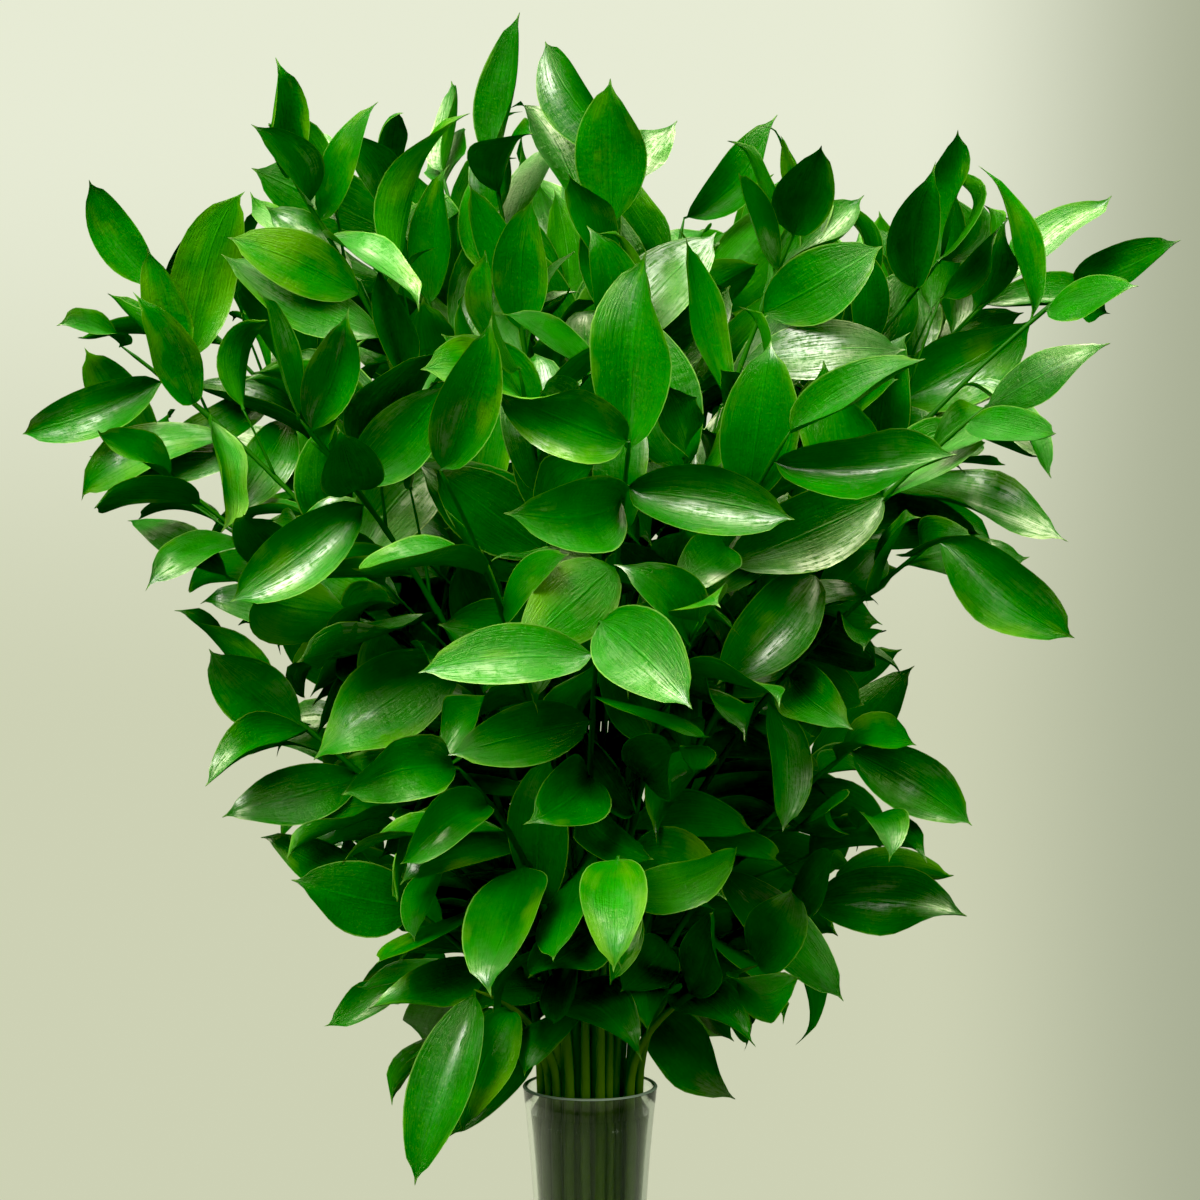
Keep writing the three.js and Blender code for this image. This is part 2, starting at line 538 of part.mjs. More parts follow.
// The ways in which a leaf that shows at given marks can stand in space.
function shownLeafChoices({ tip, root, wide }, number, stems, mostStray) {
  const choices = [];
  const places = placesNear(root, stems, mostStray).slice(0, 6);
  for (const tilt of [1, 0.6, 1.3, 0.2, -0.4, -1]) {
    for (const { stem, share, point } of places) {
      const flatTip = fromElevation(tip, point.y);
      const shown = flatTip.distanceTo(point);
      if (shown > LEAF_LONGEST) continue;
      const length = Math.max(1.02 * shown, LEAF_SHORTEST + 12 * draw(number, 2));
      const towards = point.y > 60 ? -1 : 1;
      const lean = Math.max(LEAST_LEAN, Math.sqrt(length ** 2 - shown ** 2));
      const leafTip = fromElevation(tip, point.y - towards * tilt * lean);
      const trueLength = leafTip.distanceTo(point);
      const width = THREE.MathUtils.clamp(wide * UNIT, 0.37 * trueLength, 0.5 * trueLength);
      const roll = Math.acos(Math.min(1, wide * UNIT / width));
      const chord = leafTip.clone().sub(point).normalize();
      const facing = squareTo(EYE.clone().sub(point).normalize(), chord);
      const upturn = Math.sign(new THREE.Vector3().crossVectors(facing, UP).dot(chord)) || 1;
      for (const sense of [upturn, -upturn]) {
        const upper = facing.clone().applyAxisAngle(chord, sense * roll);
        const bow = between(2, 7, draw(number, 3)) * (chord.z > 0.5 ? -0.6 : 1);
        const twist = between(-0.5, 0.5, draw(number, 4));
        choices.push({ stem, share, root: point, tip: leafTip, upper, width, bow, twist });
      }
    }
  }
  return choices;
}

// The ways in which a leaf can grow at a place on a stem.
function grownLeafChoices(stem, distance, turn, number) {
  const reach = stem.line.getLength();
  const share = distance / reach;
  const root = placeOnStem(stem, share);
  const growth = stem.line.getTangentAt(share);
  const outward = new THREE.Vector3(root.x, root.y, 0).normalize();
  const height = THREE.MathUtils.smoothstep(root.z, 300, 620);
  const choices = [];
  for (let attempt = 0; attempt < 44; attempt += 1) {
    const key = [stem.number, number, attempt];
    const wander = Math.min(1, 0.25 + attempt * 0.04);
    const round = turn + wander * between(-1.6, 1.6, draw(...key, 1));
    const sideways = squareTo(SIDEWAYS, growth).applyAxisAngle(growth, round);
    const heading = growth.clone().multiplyScalar(between(0.35, 0.9, draw(...key, 2)));
    heading.add(sideways).addScaledVector(outward, between(0.1, 0.7, draw(...key, 3)));
    const lift = between(-0.75, 0.15, height) + between(-0.3, 0.3, draw(...key, 4));
    heading.addScaledVector(UP, lift).normalize();
    const young = between(1, 0.8, Math.max(0, share * 2 - 1));
    const length = young * between(76, 102, draw(...key, 5)) * (1 - 0.006 * attempt);
    const upper = UP.clone().multiplyScalar(0.9).addScaledVector(outward, 0.6);
    upper.add(new THREE.Vector3(...[6, 7, 8].map((axis) => between(-0.7, 0.7, draw(...key, axis)))));
    choices.push({
      stem, share, root, tip: along(root, heading, length), upper,
      width: LEAF_SLENDER * length * between(0.88, 1.1, draw(...key, 9)),
      bow: between(1, 8, draw(...key, 10)), twist: between(-0.5, 0.5, draw(...key, 11)),
    });
  }
  return choices;
}

// The leaf that ends a stem, along its line.
function endLeafChoices(stem) {
  const growth = stem.line.getTangentAt(1);
  const outward = new THREE.Vector3(stem.tip.x, stem.tip.y, 0).normalize();
  const root = along(stem.tip, growth, -2);
  return Array.from({ length: 20 }, (_, attempt) => {
    const key = [stem.number, 900, attempt];
    const stray = new THREE.Vector3(...[1, 2, 3].map((axis) => between(-1, 1, draw(...key, axis))));
    const heading = growth.clone().addScaledVector(stray, 0.2 + 0.03 * attempt).normalize();
    const length = between(62, 84, draw(...key, 4)) * (1 - 0.012 * attempt);
    return {
      stem, share: 1, root, tip: along(root, heading, length), upper: outward.clone().add(UP).add(stray),
      width: LEAF_SLENDER * length,
      bow: between(1, 5, draw(...key, 5)), twist: between(-0.4, 0.4, draw(...key, 6)),
    };
  });
}

const keepsToOutline = (leaf) => (
  [0.5, 0.8, 1].every((share) => isInside(toElevation(leafFrame(leaf, share).centre), OUTLINE)));

// A leaf's outline on the elevation, and its depth.
function faceOf(leaf) {
  const rings = leafRings(leaf);
  const left = rings.map(([edge]) => edge);
  const right = rings.map(([, edge]) => edge).reverse();
  const outline = [leaf.root, ...left, leaf.tip, ...right].map((point) => toElevation(point).toArray());
  return { outline, depth: (leaf.root.y + leaf.tip.y) / 2 };
}

// Whether more than a corner of a leaf stands in front of one of the given faces.
function hides(leaf, faces) {
  const hiding = pointsOver(leaf).filter((point) => {
    const mark = toElevation(point);
    return faces.some(({ outline, depth }) => point.y < depth && isInside(mark, outline));
  });
  return hiding.length > MAY_HIDE;
}

function growLeaves(stems) {
  const placed = new Set();
  for (const mostStray of ROOT_STRAYS) {
    SHOWN_LEAVES.forEach((marks, number) => {
      if (placed.has(number)) return;
      if (addFirstWithRoom(shownLeafChoices(marks, number, stems, mostStray), stems)) placed.add(number);
    });
  }
  const shownFaces = stems.flatMap((stem) => stem.leaves).map(faceOf);
  const suits = (leaf) => keepsToOutline(leaf) && !hides(leaf, shownFaces);
  for (const stem of stems) {
    const ended = stem.leaves.some((leaf) => leaf.share > 0.95);
    if (!ended) addFirstWithRoom(endLeafChoices(stem).filter(suits), stems);
  }
  const wanted = stems.flatMap((stem) => {
    const reach = stem.line.getLength();
    const bare = Math.min(BARE_LENGTH, 0.3 * reach);
    const count = Math.floor((reach - bare) / LEAF_PITCH);
    return Array.from({ length: count }, (_, number) => (
      { stem, number, distance: reach - 6 - (number + 0.5) * (reach - bare) / count }));
  });
  const turnOf = ({ stem, number }) => draw(stem.number, number, 77);
  wanted.sort((one, other) => turnOf(one) - turnOf(other));
  let total = stems.reduce((sum, stem) => sum + stem.leaves.length, 0);
  for (const { stem, number, distance } of wanted) {
    if (total >= LEAF_MOST) break;
    const reach = stem.line.getLength();
    const taken = stem.leaves.some((leaf) => Math.abs(leaf.share * reach - distance) < 0.45 * LEAF_PITCH);
    if (taken) continue;
    const choices = grownLeafChoices(stem, distance, number * GOLDEN_ANGLE + stem.number, number);
    if (addFirstWithRoom(choices.filter(suits), stems)) total += 1;
  }
}

// ---- The object ----

const clear = { transparent: true, opacity: 0.35, metalness: 0 };
const glassFinish = new THREE.MeshStandardMaterial({ color: 0xdfe8dc, roughness: 0.04, ...clear });
const waterFinish = new THREE.MeshStandardMaterial({ color: 0xc9d6bf, roughness: 0.02, ...clear });
const foliageFinish = new THREE.MeshStandardMaterial({ color: 0x1e6a12, roughness: 0.35, metalness: 0 });

function piece(name, geometry, material) {
  const mesh = new THREE.Mesh(geometry, material);
  mesh.name = name;
  return mesh;
}

function leafyStem(stem) {
  const blades = stem.leaves.map((leaf) => toSolid(leafGeometry(leaf)));
  return toGeometry(wasm.Manifold.union([toSolid(stemGeometry(stem)), ...blades]));
}

const stems = makeStems();
growLeaves(stems);

const bunch = new THREE.Group();
stems.forEach((stem, place) => {
  const name = `leafy_stem_${String(place + 1).padStart(2, "0")}`;
  bunch.add(piece(name, leafyStem(stem), foliageFinish));
});

const filledVase = new THREE.Group();
filledVase.add(piece("vase", vaseGeometry(), glassFinish));
filledVase.add(piece("water", waterGeometry(stems), waterFinish));
filledVase.add(bunch);

export default filledVase;
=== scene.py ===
"""A bunch of fresh ruscus stems in a tapered glass vase of water. Metres, +Z up, best side towards -Y.

Each stem is read from its solid: where it stands, where it ends, and how each leaf on it lies. A fine
stem and fine leaves take its place, and more leaves grow on the stems between them.
"""
import math
import random

import bpy
import numpy as np
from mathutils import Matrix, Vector
from mathutils.bvhtree import BVHTree


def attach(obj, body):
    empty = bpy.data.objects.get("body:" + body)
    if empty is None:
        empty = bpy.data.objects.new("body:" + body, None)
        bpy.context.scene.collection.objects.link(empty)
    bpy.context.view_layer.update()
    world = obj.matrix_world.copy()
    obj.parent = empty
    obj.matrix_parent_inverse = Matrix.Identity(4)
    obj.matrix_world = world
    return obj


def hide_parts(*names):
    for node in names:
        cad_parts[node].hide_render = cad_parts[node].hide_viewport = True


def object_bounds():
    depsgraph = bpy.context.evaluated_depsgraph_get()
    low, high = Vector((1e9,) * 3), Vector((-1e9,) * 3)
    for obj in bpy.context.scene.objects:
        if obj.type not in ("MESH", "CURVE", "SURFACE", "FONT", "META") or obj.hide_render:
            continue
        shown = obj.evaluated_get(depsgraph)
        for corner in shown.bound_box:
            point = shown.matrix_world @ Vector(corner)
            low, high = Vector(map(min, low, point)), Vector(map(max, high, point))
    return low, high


# ---- Vase, in metres ----
VASE_HEIGHT = 0.240
RIM_RADIUS = 0.036
CUP_RADIUS = 0.0274
CUP_FLOOR = 0.030
GLASS_WALL = 0.0026
LIP_RADIUS = GLASS_WALL / 2
RIM_BELOW = 0.0011            # how far the rim's painted highlight reaches down
WATER_BELOW_RIM = 0.014
WATER_GAP = 0.00005           # between the water and the glass
WATER_EDGE = 0.0008           # how far the water is drawn up at the glass
WATER_IOR = 1.18              # less than water's own, so that the stems in it look narrower than the glass
ROUND_SIDES = 96              # of the vase, the water and the board
BOARD_RADIUS = 0.470
BOARD_GAP = 0.0002            # under the vase

# ---- Stems and leaves, in metres ----
STEM_RADIUS = 0.0027          # in the vase's neck
STEM_TIP_RADIUS = 0.0010
STEM_SIDES = 10
ROUGH_STEM_SIDES, ROUGH_TWIG_SIDES = 5, 4     # in telling what a stem or twig cuts
STEM_STEP = 0.008             # between the rings of a stem
SWELLING = (0.22, 0.005)      # of a stem where a leaf or twig joins it: share of its radius, and reach
TWIG_RADIUS = 0.0010
TWIG_SIDES = 6
LEAF_WIDEST = 0.4722          # along a leaf from its root, as are the next four
TIP_FROM, TIP_WIDTH = 0.88, 0.4156    # where the drawn-out tip begins, and the leaf's width there
BEND_FROM = 0.50
TURN_FROM = 0.45
HOOK_FROM = 0.86
STALK_HALF_WIDTH = 0.0009
BLADE_THICKNESS = 0.00045
ROOT_THICKNESS = 0.0009       # of a leaf, beyond the blade's
JOIN_REACH = 0.006            # how near its stem a leaf's root lies, to be joined to it

# ---- More twigs and leaves ----
LEAF_SLENDER = 0.47           # width over length
LEAF_LENGTHS = (0.074, 0.108)
LEAF_PITCH = 0.013            # along a stem or twig, between the places where leaves may grow
BARE_STEM = 0.040             # above the rim
FREE_ROUND_LEAF = 0.007       # along a stem, kept free on both sides of the leaves of its solid
FREE_ROUND_TIP = 0.012
ATTEMPTS = 24                 # at each place
BEST_ATTEMPTS = 14            # of those, tried against the leaves that are there
LEAST_GAIN = 0.2              # how much a leaf must close to be kept
AT_JOIN = 0.004               # how near a leaf's join a line's point counts as there
SIGHT_STEP, SIGHT_SLACK = 0.001, 0.002    # in looking along the camera's rays past a leaf
LEAF_GAP = 0.0004             # between leaves, in telling whether one cuts another
VASE_GAP = 0.004              # between the vase and the leaves
SHORTER = 0.30                # of its length, the most that a leaf gives up to find room
GAP_GAIN = 3.5                # what closing a gap through the bunch is worth, over a deep hollow
HOLLOW = 0.09                 # how far back a deep hollow lies
SIDE_WEIGHTS = (2.2, 1, 1, 1, 1)      # the camera's side, the back, both flanks and the top
MOST_COVERED = 3              # points of a new leaf that may stand before the leaves of the solids
GOLDEN_TURN = 2.4             # from one place to the next, round the stem
LOW_LEAVES = 0.30             # the height up to which leaves hang most
LEAF_SPAN = 0.34              # above that, to where they rise most
HANG, RISE = -0.75, 1.75      # of the lowest leaves, and how much more the highest rise
TWIG_LENGTHS = (0.045, 0.095)
TWIG_PITCH = 0.042            # along a stem, between the places where twigs may grow
TWIG_ATTEMPTS = 12
TWIG_SEED = 9000
ORDER_SEED = 41               # of the order in which the places get their leaves
TIP_PLACE, TWIG_PLACE = 39, 40        # numbers of a stem's tip and a twig's first place, after the stem's own

# ---- The leaves' solids ----
SOLID_STATIONS = (0.10, 0.40, 0.72)   # along a leaf's solid, where its rings lie
SOLID_SHARES = (0.22, 1.00, 0.68)     # and how wide it is there, over its widest
SOLID_KEEL = 0.0024           # its thickness at the first of them
SOLID_LENGTHS = (0.03, 0.16)  # between which a leaf's solid lies
SHARE_SLACK = 0.02            # of those shares, in telling a leaf from other corners
ROOT_SLACK, NECK_SLACK = 0.0002, 0.0003   # how near a leaf's root and the neck their corners lie
TIP_SLACK = 0.004             # how near a stem's furthest corner the others of its tip lie
SOLID_BEND = (0.5, 0.42, 0.6, 0.34, 0.68)  # how far out a stem's shoulder may lie, over its reach

# ---- Fineness ----
ALONG = np.array([0, 0.03, 0.07, 0.12, 0.18, 0.25, 0.33, 0.41, 0.49, 0.57, 0.65, 0.72, 0.79,
                  0.84, 0.88, 0.92, 0.96, 1])
ACROSS = np.array([-1, -0.82, -0.55, -0.27, 0, 0.27, 0.55, 0.82, 1])
ROUGH_ALONG = np.array([0, 0.1, 0.25, 0.4, 0.6, 0.8, 1])
ROUGH_ACROSS = np.array([-1, 0, 1])
ROOT_ROWS = 2                 # of a rough leaf, that may touch the stem it grows on
SAMPLE_ALONG = np.linspace(0.08, 0.98, 11)
SAMPLE_ACROSS = np.array([-0.9, -0.45, 0, 0.45, 0.9])
DENSE_ALONG = np.linspace(0.06, 0.99, 21)
DENSE_ACROSS = np.linspace(-0.95, 0.95, 9)
CELL = 0.006                  # of the grids that say what each side of the bunch shows
PICTURE_CELL = 9              # and of the camera's, in pixels
CLOSING = 5                   # cells, over which gaps in those grids are closed
FAR = 9.0                     # the depth of a cell in which nothing shows

# ---- Camera ----
EYE = Vector((0.0053, -1.400, 0.550))
PITCH_DOWN = math.radians(2.1)
LENS = 79.26                  # in millimetres, as the sensor's width
SENSOR = 36.0
PICTURE = 1200

# ---- Light, in linear colours ----
WALL_LOW = (0.615, 0.640, 0.462, 1)
WALL_HIGH = (0.800, 0.831, 0.665, 1)
WALL_RIGHT = (0.400, 0.430, 0.305, 1)
FILL_BELOW = (0.014, 0.020, 0.012, 1)
FILL_ABOVE = (0.70, 0.77, 0.60, 1)
MIRRORED_BELOW = (0.004, 0.006, 0.003, 1)
MIRRORED_ABOVE = (13.0, 12.6, 8.6, 1)
# Where one of these colours turns into the next: parts of a direction's way up, or to the right or the back.
WALL_RISE = (-0.09, 0.15)
WALL_SHADE = (0.112, 0.232)
FILL_RISE = (-0.35, 0.85)
MIRRORED_RISE = (0.76, 0.95)
WALL_IN_GLASS = (-0.5, 0.1)
WARM = (1.0, 0.99, 0.87)
COOL = (0.97, 1.0, 0.88)
# Each light's place, the height that it points at, its size, power and colour, and whether gloss mirrors it.
SOFT_BOXES = {
    "key light": ((-0.60, -1.35, 1.85), 0.55, 1.3, 76.0, WARM, True),
    "left flank light": ((-1.9, -0.6, 1.1), 0.60, 1.0, 8.0, COOL, False),
    "right flank light": ((1.6, -1.2, 1.3), 0.62, 1.0, 17.0, COOL, False),
    "back light": ((0.7, 1.7, 1.6), 0.50, 1.2, 18.0, COOL, False),
}
BLACKS = (0.008, 0.004, 0.007)    # taken off the red, green and blue of the finished picture

# ---- Leaf finish ----
# How fine each pattern is across a leaf, along it and from leaf to leaf, and its detail and roughness.
LEAF_NOISE = {
    "streaks": ((38, 4.0, 40), 4.0, 0.62),
    "fibres": ((95, 14, 40), 2.0, 0.5),
    "blotches": ((3.2, 4.2, 40), 3.0, 0.5),
    "patches": ((2.1, 2.6, 70), 2.0, 0.5),
    "wrinkles": ((9, 30, 40), 3.0, 0.6),
    "specks": ((64, 70, 40), 2.0, 0.6),
}
LEAF_RELIEF = 0.0008
WAX_ROUGHNESS = 0.30
WAX_IOR = 1.75
LEAF_EDGE = (0.25, 0.48, 0.08, 1)

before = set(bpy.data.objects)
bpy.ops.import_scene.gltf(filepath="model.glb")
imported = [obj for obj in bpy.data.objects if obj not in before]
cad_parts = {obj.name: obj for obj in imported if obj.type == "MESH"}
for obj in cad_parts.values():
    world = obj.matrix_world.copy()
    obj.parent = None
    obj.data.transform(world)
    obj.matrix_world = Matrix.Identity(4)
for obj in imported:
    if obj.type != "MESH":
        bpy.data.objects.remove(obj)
solid_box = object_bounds()


# ---- Camera, light and floor ----

def place_camera():
    data = bpy.data.cameras.new("camera")
    data.lens, data.sensor_width = LENS, SENSOR
    camera = bpy.data.objects.new("camera", data)
    camera.location = EYE
    camera.rotation_euler = (math.pi / 2 - PITCH_DOWN, 0, 0)
    bpy.context.scene.collection.objects.link(camera)
    bpy.context.scene.camera = camera


def on_picture(points):
    """Where points show in the picture, in its pixels."""
    offset = np.asarray(points) - np.array(EYE)
    cos, sin = math.cos(PITCH_DOWN), math.sin(PITCH_DOWN)
    depth = offset[..., 1] * cos - offset[..., 2] * sin
    height = offset[..., 1] * sin + offset[..., 2] * cos
    focal = LENS / SENSOR * PICTURE
    right, down = focal * offset[..., 0] / depth, -focal * height / depth
    return np.stack([PICTURE / 2 + right, PICTURE / 2 + down], axis=-1)


def soft_box(name, at, height, size, power, colour, mirrored):
    """A round light that points at the bunch's middle, at a height."""
    data = bpy.data.lights.new(name, "AREA")
    data.shape, data.size, data.energy, data.color = "DISK", size, power, colour
    light = bpy.data.objects.new(name, data)
    light.location, light.visible_glossy = at, mirrored
    light.rotation_euler = (Vector((0, 0, height)) - Vector(at)).to_track_quat("-Z", "Y").to_euler()
    bpy.context.scene.collection.objects.link(light)


def light_studio():
    """A pale wall, darker at the right, and light from above, which gloss mirrors with the key light."""
    world = bpy.data.worlds.new("studio")
    bpy.context.scene.world = world
    world.use_nodes = True
    graph = Graph(world.node_tree)
    mix, step = graph.mix, graph.step
    towards = graph.add("TexCoord").outputs["Generated"]
    right, back, up = graph.add("SeparateXYZ", {0: towards}).outputs
    wall = mix(step(up, *WALL_RISE), WALL_LOW, WALL_HIGH)
    wall = mix(step(right, *WALL_SHADE), wall, WALL_RIGHT)
    fill = mix(step(up, *FILL_RISE), FILL_BELOW, FILL_ABOVE)
    mirrored = mix(step(up, *MIRRORED_RISE), MIRRORED_BELOW, MIRRORED_ABOVE)
    ray = graph.add("LightPath").outputs
    # Glass and water mirror the wall behind them, and a dark room in front.
    in_glass = mix(step(back, *WALL_IN_GLASS), MIRRORED_BELOW, wall)
    mirrored = mix(ray["Is Singular Ray"], mirrored, in_glass)
    colour = mix(ray["Is Glossy Ray"], fill, mirrored)
    direct = graph.maths("LESS_THAN", ray["Diffuse Depth"], 0.5)
    clear = graph.maths("MAXIMUM", ray["Is Camera Ray"], graph.times(ray["Is Transmission Ray"], direct))
    shown = graph.add("Background", {"Color": mix(clear, colour, wall)})
    graph.add("OutputWorld", {"Surface": shown.outputs[0]})
    for name, values in SOFT_BOXES.items():
        soft_box(name, *values)
    view = bpy.context.scene.view_settings
    view.view_transform, view.use_curve_mapping = "Standard", True
    view.curve_mapping.black_level = BLACKS
    view.curve_mapping.update()


def lay_floor(material):
    """A round dull board under the vase, with a rounded edge."""
    rings = [(0, -BOARD_GAP), (BOARD_RADIUS - 0.012, -BOARD_GAP), (BOARD_RADIUS - 0.005, -0.0012),
             (BOARD_RADIUS, -0.006), (BOARD_RADIUS, -0.018)]
    floor = lathe("floor board", rings, [material])


# ---- Material helpers ----

class Graph:
    """A node tree with short ways to fill it. Each input of a node is a value or another node's output."""

    def __init__(self, tree):
        self.nodes, self.links = tree.nodes, tree.links
        self.nodes.clear()

    def add(self, kind, inputs=None, **settings):
        node = self.nodes.new("ShaderNode" + kind)
        for name, value in settings.items():
            setattr(node, name, value)
        self.feed(node, inputs or {})
        return node

    def feed(self, node, inputs):
        for name, value in inputs.items():
            if isinstance(value, bpy.types.NodeSocket):
                self.links.new(value, node.inputs[name])
            else:
                node.inputs[name].default_value = value

    def maths(self, operation, *values, clamp=False):
        node = self.add("Math", dict(enumerate(values)), operation=operation, use_clamp=clamp)
        return node.outputs[0]

    def times(self, first, second):
        return self.maths("MULTIPLY", first, second)

    def total(self, first, *others):
        for other in others:
            first = self.maths("ADD", first, other)
        return first

    def swing(self, pattern, amount):
        """A pattern's swing about its middle."""
        return self.times(self.maths("SUBTRACT", pattern, 0.5), amount)

    def mix(self, factor, first, second):
        node = self.add("Mix", {"Factor": factor, "A": first, "B": second}, data_type="RGBA")
        return node.outputs["Result"]

    def noise(self, vector, stretch, detail, roughness=0.55):
        placed = self.add("Mapping", {"Scale": stretch, "Vector": vector}).outputs[0]
        values = {"Scale": 1.0, "Detail": detail, "Roughness": roughness, "Vector": placed}
        return self.add("TexNoise", values).outputs["Fac"]

    def step(self, value, low, high, to_low=0.0, to_high=1.0):
        """A smooth step from one value to another, as the given value goes from low to high."""
        values = {"From Min": low, "From Max": high, "To Min": to_low, "To Max": to_high, "Value": value}
        return self.add("MapRange", values, interpolation_type="SMOOTHSTEP").outputs[0]

    def bump(self, height, strength, distance):
        values = {"Strength": strength, "Distance": distance, "Height": height}
        return self.add("Bump", values).outputs[0]


def new_material(name):
    """A material of one principled shader, with its graph, its shader and its output."""
    material = bpy.data.materials.new(name)
    material.use_nodes = True
    graph = Graph(material.node_tree)
    output, shader = graph.add("OutputMaterial"), graph.add("BsdfPrincipled")
    graph.feed(output, {"Surface": shader.outputs[0]})
    return material, graph, shader, output


# ---- Materials ----

def leaf_pattern():
    """Fine veins from a leaf's root to its tip, blotches, a yellower margin with specks, a pale rim and tip.

    It reads the leaf's own map, across and along, and its tone, from dull to bright.
    """
    group = bpy.data.node_groups.new("leaf pattern", "ShaderNodeTree")
    for side, kind, names in (("INPUT", "NodeSocketColor", ("Deep", "Bright", "Yellow", "Edge")),
                              ("INPUT", "NodeSocketFloat", ("Vein Contrast", "Yellowing", "Edge Strength")),
                              ("OUTPUT", "NodeSocketColor", ("Color",)),
                              ("OUTPUT", "NodeSocketFloat", ("Roughness", "Sheen", "Height"))):
        for name in names:
            group.interface.new_socket(name, in_out=side, socket_type=kind)
    graph = Graph(group)
    maths, times, total, swing, mix, step = (
        graph.maths, graph.times, graph.total, graph.swing, graph.mix, graph.step)
    given, result = graph.nodes.new("NodeGroupInput").outputs, graph.nodes.new("NodeGroupOutput")
    across, along, _ = graph.add("SeparateXYZ", {0: graph.add("UVMap", uv_map="leaf").outputs[0]}).outputs
    tone, blade = (graph.add("Attribute", attribute_name=name).outputs["Fac"] for name in ("tone", "blade"))
    # The third coordinate differs from blade to blade, so no two have the same veins.
    place = graph.add("CombineXYZ", {0: across, 1: along, 2: blade}).outputs[0]
    streaks, fibres, blotches, patches, wrinkles, specks = (
        graph.noise(place, *values) for values in LEAF_NOISE.values())
    specks = step(specks, 0.57, 0.68)
    off_middle = maths("ABSOLUTE", maths("SUBTRACT", times(across, 2.0), 1.0))
    rim, tip = step(off_middle, 0.955, 0.985), step(along, 0.945, 0.985)
    rib = step(off_middle, 0.0, 0.05, 1.0, 0.0)

    # The colour: veins and blotches, then yellow where the leaf is ripe, then the pale rim, tip and rib.
    veined = total(swing(streaks, given["Vein Contrast"]), swing(blotches, 0.7))
    body = mix(maths("ADD", veined, tone, clamp=True), given["Deep"], given["Bright"])
    outer = times(maths("POWER", off_middle, 2.0), 0.35)
    ripe = total(outer, times(along, 0.30), times(patches, 1.9), times(streaks, 0.5), tone)
    ripe = times(maths("SUBTRACT", ripe, 2.06, clamp=True), 1.8)
    ripe = maths("ADD", ripe, times(specks, 0.32), clamp=True)
    body = mix(times(ripe, given["Yellowing"]), body, given["Yellow"])
    edged = mix(times(maths("MAXIMUM", rim, tip), given["Edge Strength"]), body, given["Edge"])
    # The gloss: fine veins and wrinkles break its sheen, and whole patches have none.
    broken = total(swing(streaks, 5.5), 0.62, swing(fibres, 3.0))
    broken = maths("ADD", broken, swing(wrinkles, 3.0), clamp=True)
    graph.feed(result, {
        "Color": mix(times(rib, 0.25), edged, given["Bright"]),
        "Roughness": times(fibres, 0.14),
        "Sheen": times(step(patches, 0.34, 0.56), broken),
        "Height": total(times(streaks, 0.65), times(fibres, 0.25), times(wrinkles, 0.55), times(rib, 0.3)),
    })
    return group


def leaf_material(name, pattern, colours, amounts, gloss):
    """One side of a leaf: waxy, with the leaf pattern in its own colours and amounts."""
    material, graph, shader, _ = new_material(name)
    finish = graph.add("Group", {**colours, **amounts}, node_tree=pattern).outputs
    graph.feed(shader, {
        "Base Color": finish["Color"],
        "Roughness": graph.total(finish["Roughness"], gloss["roughness"]),
        "Normal": graph.bump(finish["Height"], gloss["relief"], LEAF_RELIEF),
        "Specular IOR Level": gloss["specular"],
        "Specular Tint": gloss["tint"],
        "Coat Weight": graph.times(finish["Sheen"], gloss["coat"]),
        "Coat Roughness": WAX_ROUGHNESS,
        "Coat IOR": WAX_IOR,
    })
    return material


def stem_material():
    """Ridged stems: painted shade where they stand wet in the vase, an olive neck painted lighter in place of
    light, and greener higher up.
    """
    material, graph, shader, _ = new_material("ruscus stem")
    where = graph.add("TexCoord").outputs["Object"]
    height = graph.add("SeparateXYZ", {0: where}).outputs["Z"]
    # Painted shade: the stems turn dark from just below the rim down, where they stand wet in the vase.
    above_painted_shade = graph.step(height, VASE_HEIGHT - 0.012, VASE_HEIGHT + 0.006)
    # Above the neck, the painted light gives way to the stems' own green.
    above_painted_neck_light = graph.step(height, VASE_HEIGHT + 0.03, VASE_HEIGHT + 0.12)
    ridges, patches = graph.noise(where, (420, 420, 14), 2.0), graph.noise(where, (60, 60, 30), 3.0)
    # The neck's olive is the stems' own hue, painted lighter than their own colour in place of the light that
    # reaches it.
    olive = graph.mix(patches, (0.050, 0.140, 0.008, 1), (0.150, 0.280, 0.022, 1))
    olive = graph.mix(graph.step(ridges, 0.35, 0.7), olive, (0.110, 0.210, 0.020, 1))
    green = graph.mix(above_painted_neck_light, olive, (0.012, 0.100, 0.002, 1))
    graph.feed(shader, {
        "Base Color": graph.mix(above_painted_shade, (0.018, 0.032, 0.002, 1), green),
        "Normal": graph.bump(ridges, 0.5, 0.0004),
        "Roughness": 0.48,
        "Specular IOR Level": 0.12,
    })
    return material


def clear_material(name, colour, ior, shadow):
    """Clear glass or water. Its shadow lets light through, tinted."""
    material, graph, shader, output = new_material(name)
    graph.feed(shader, {"Base Color": colour, "Roughness": 0.0, "IOR": ior, "Transmission Weight": 1.0})
    through = graph.add("BsdfTransparent", {"Color": shadow}).outputs[0]
    in_shadow = graph.add("LightPath").outputs["Is Shadow Ray"]
    mixed = graph.add("MixShader", {0: in_shadow, 1: shader.outputs[0], 2: through})
    graph.feed(output, {"Surface": mixed.outputs[0]})
    return material


def rim_highlight_material():
    """The glass's lip, pale and less clear than glass: a painted highlight for the bright line of light along
    it.
    """
    material, graph, shader, _ = new_material("rim painted highlight")
    graph.feed(shader, {"Base Color": (0.42, 0.52, 0.42, 1), "Roughness": 0.15, "IOR": 1.48,
                        "Transmission Weight": 0.25})
    return material


def floor_material():
    material, graph, shader, _ = new_material("dull board")
    speckle = graph.noise(graph.add("TexCoord").outputs["Object"], (300, 300, 300), 4.0)
    colour = graph.mix(speckle, (0.095, 0.105, 0.075, 1), (0.130, 0.140, 0.100, 1))
    graph.feed(shader, {"Base Color": colour, "Roughness": 0.7})
    return material


# ---- Mesh helpers ----

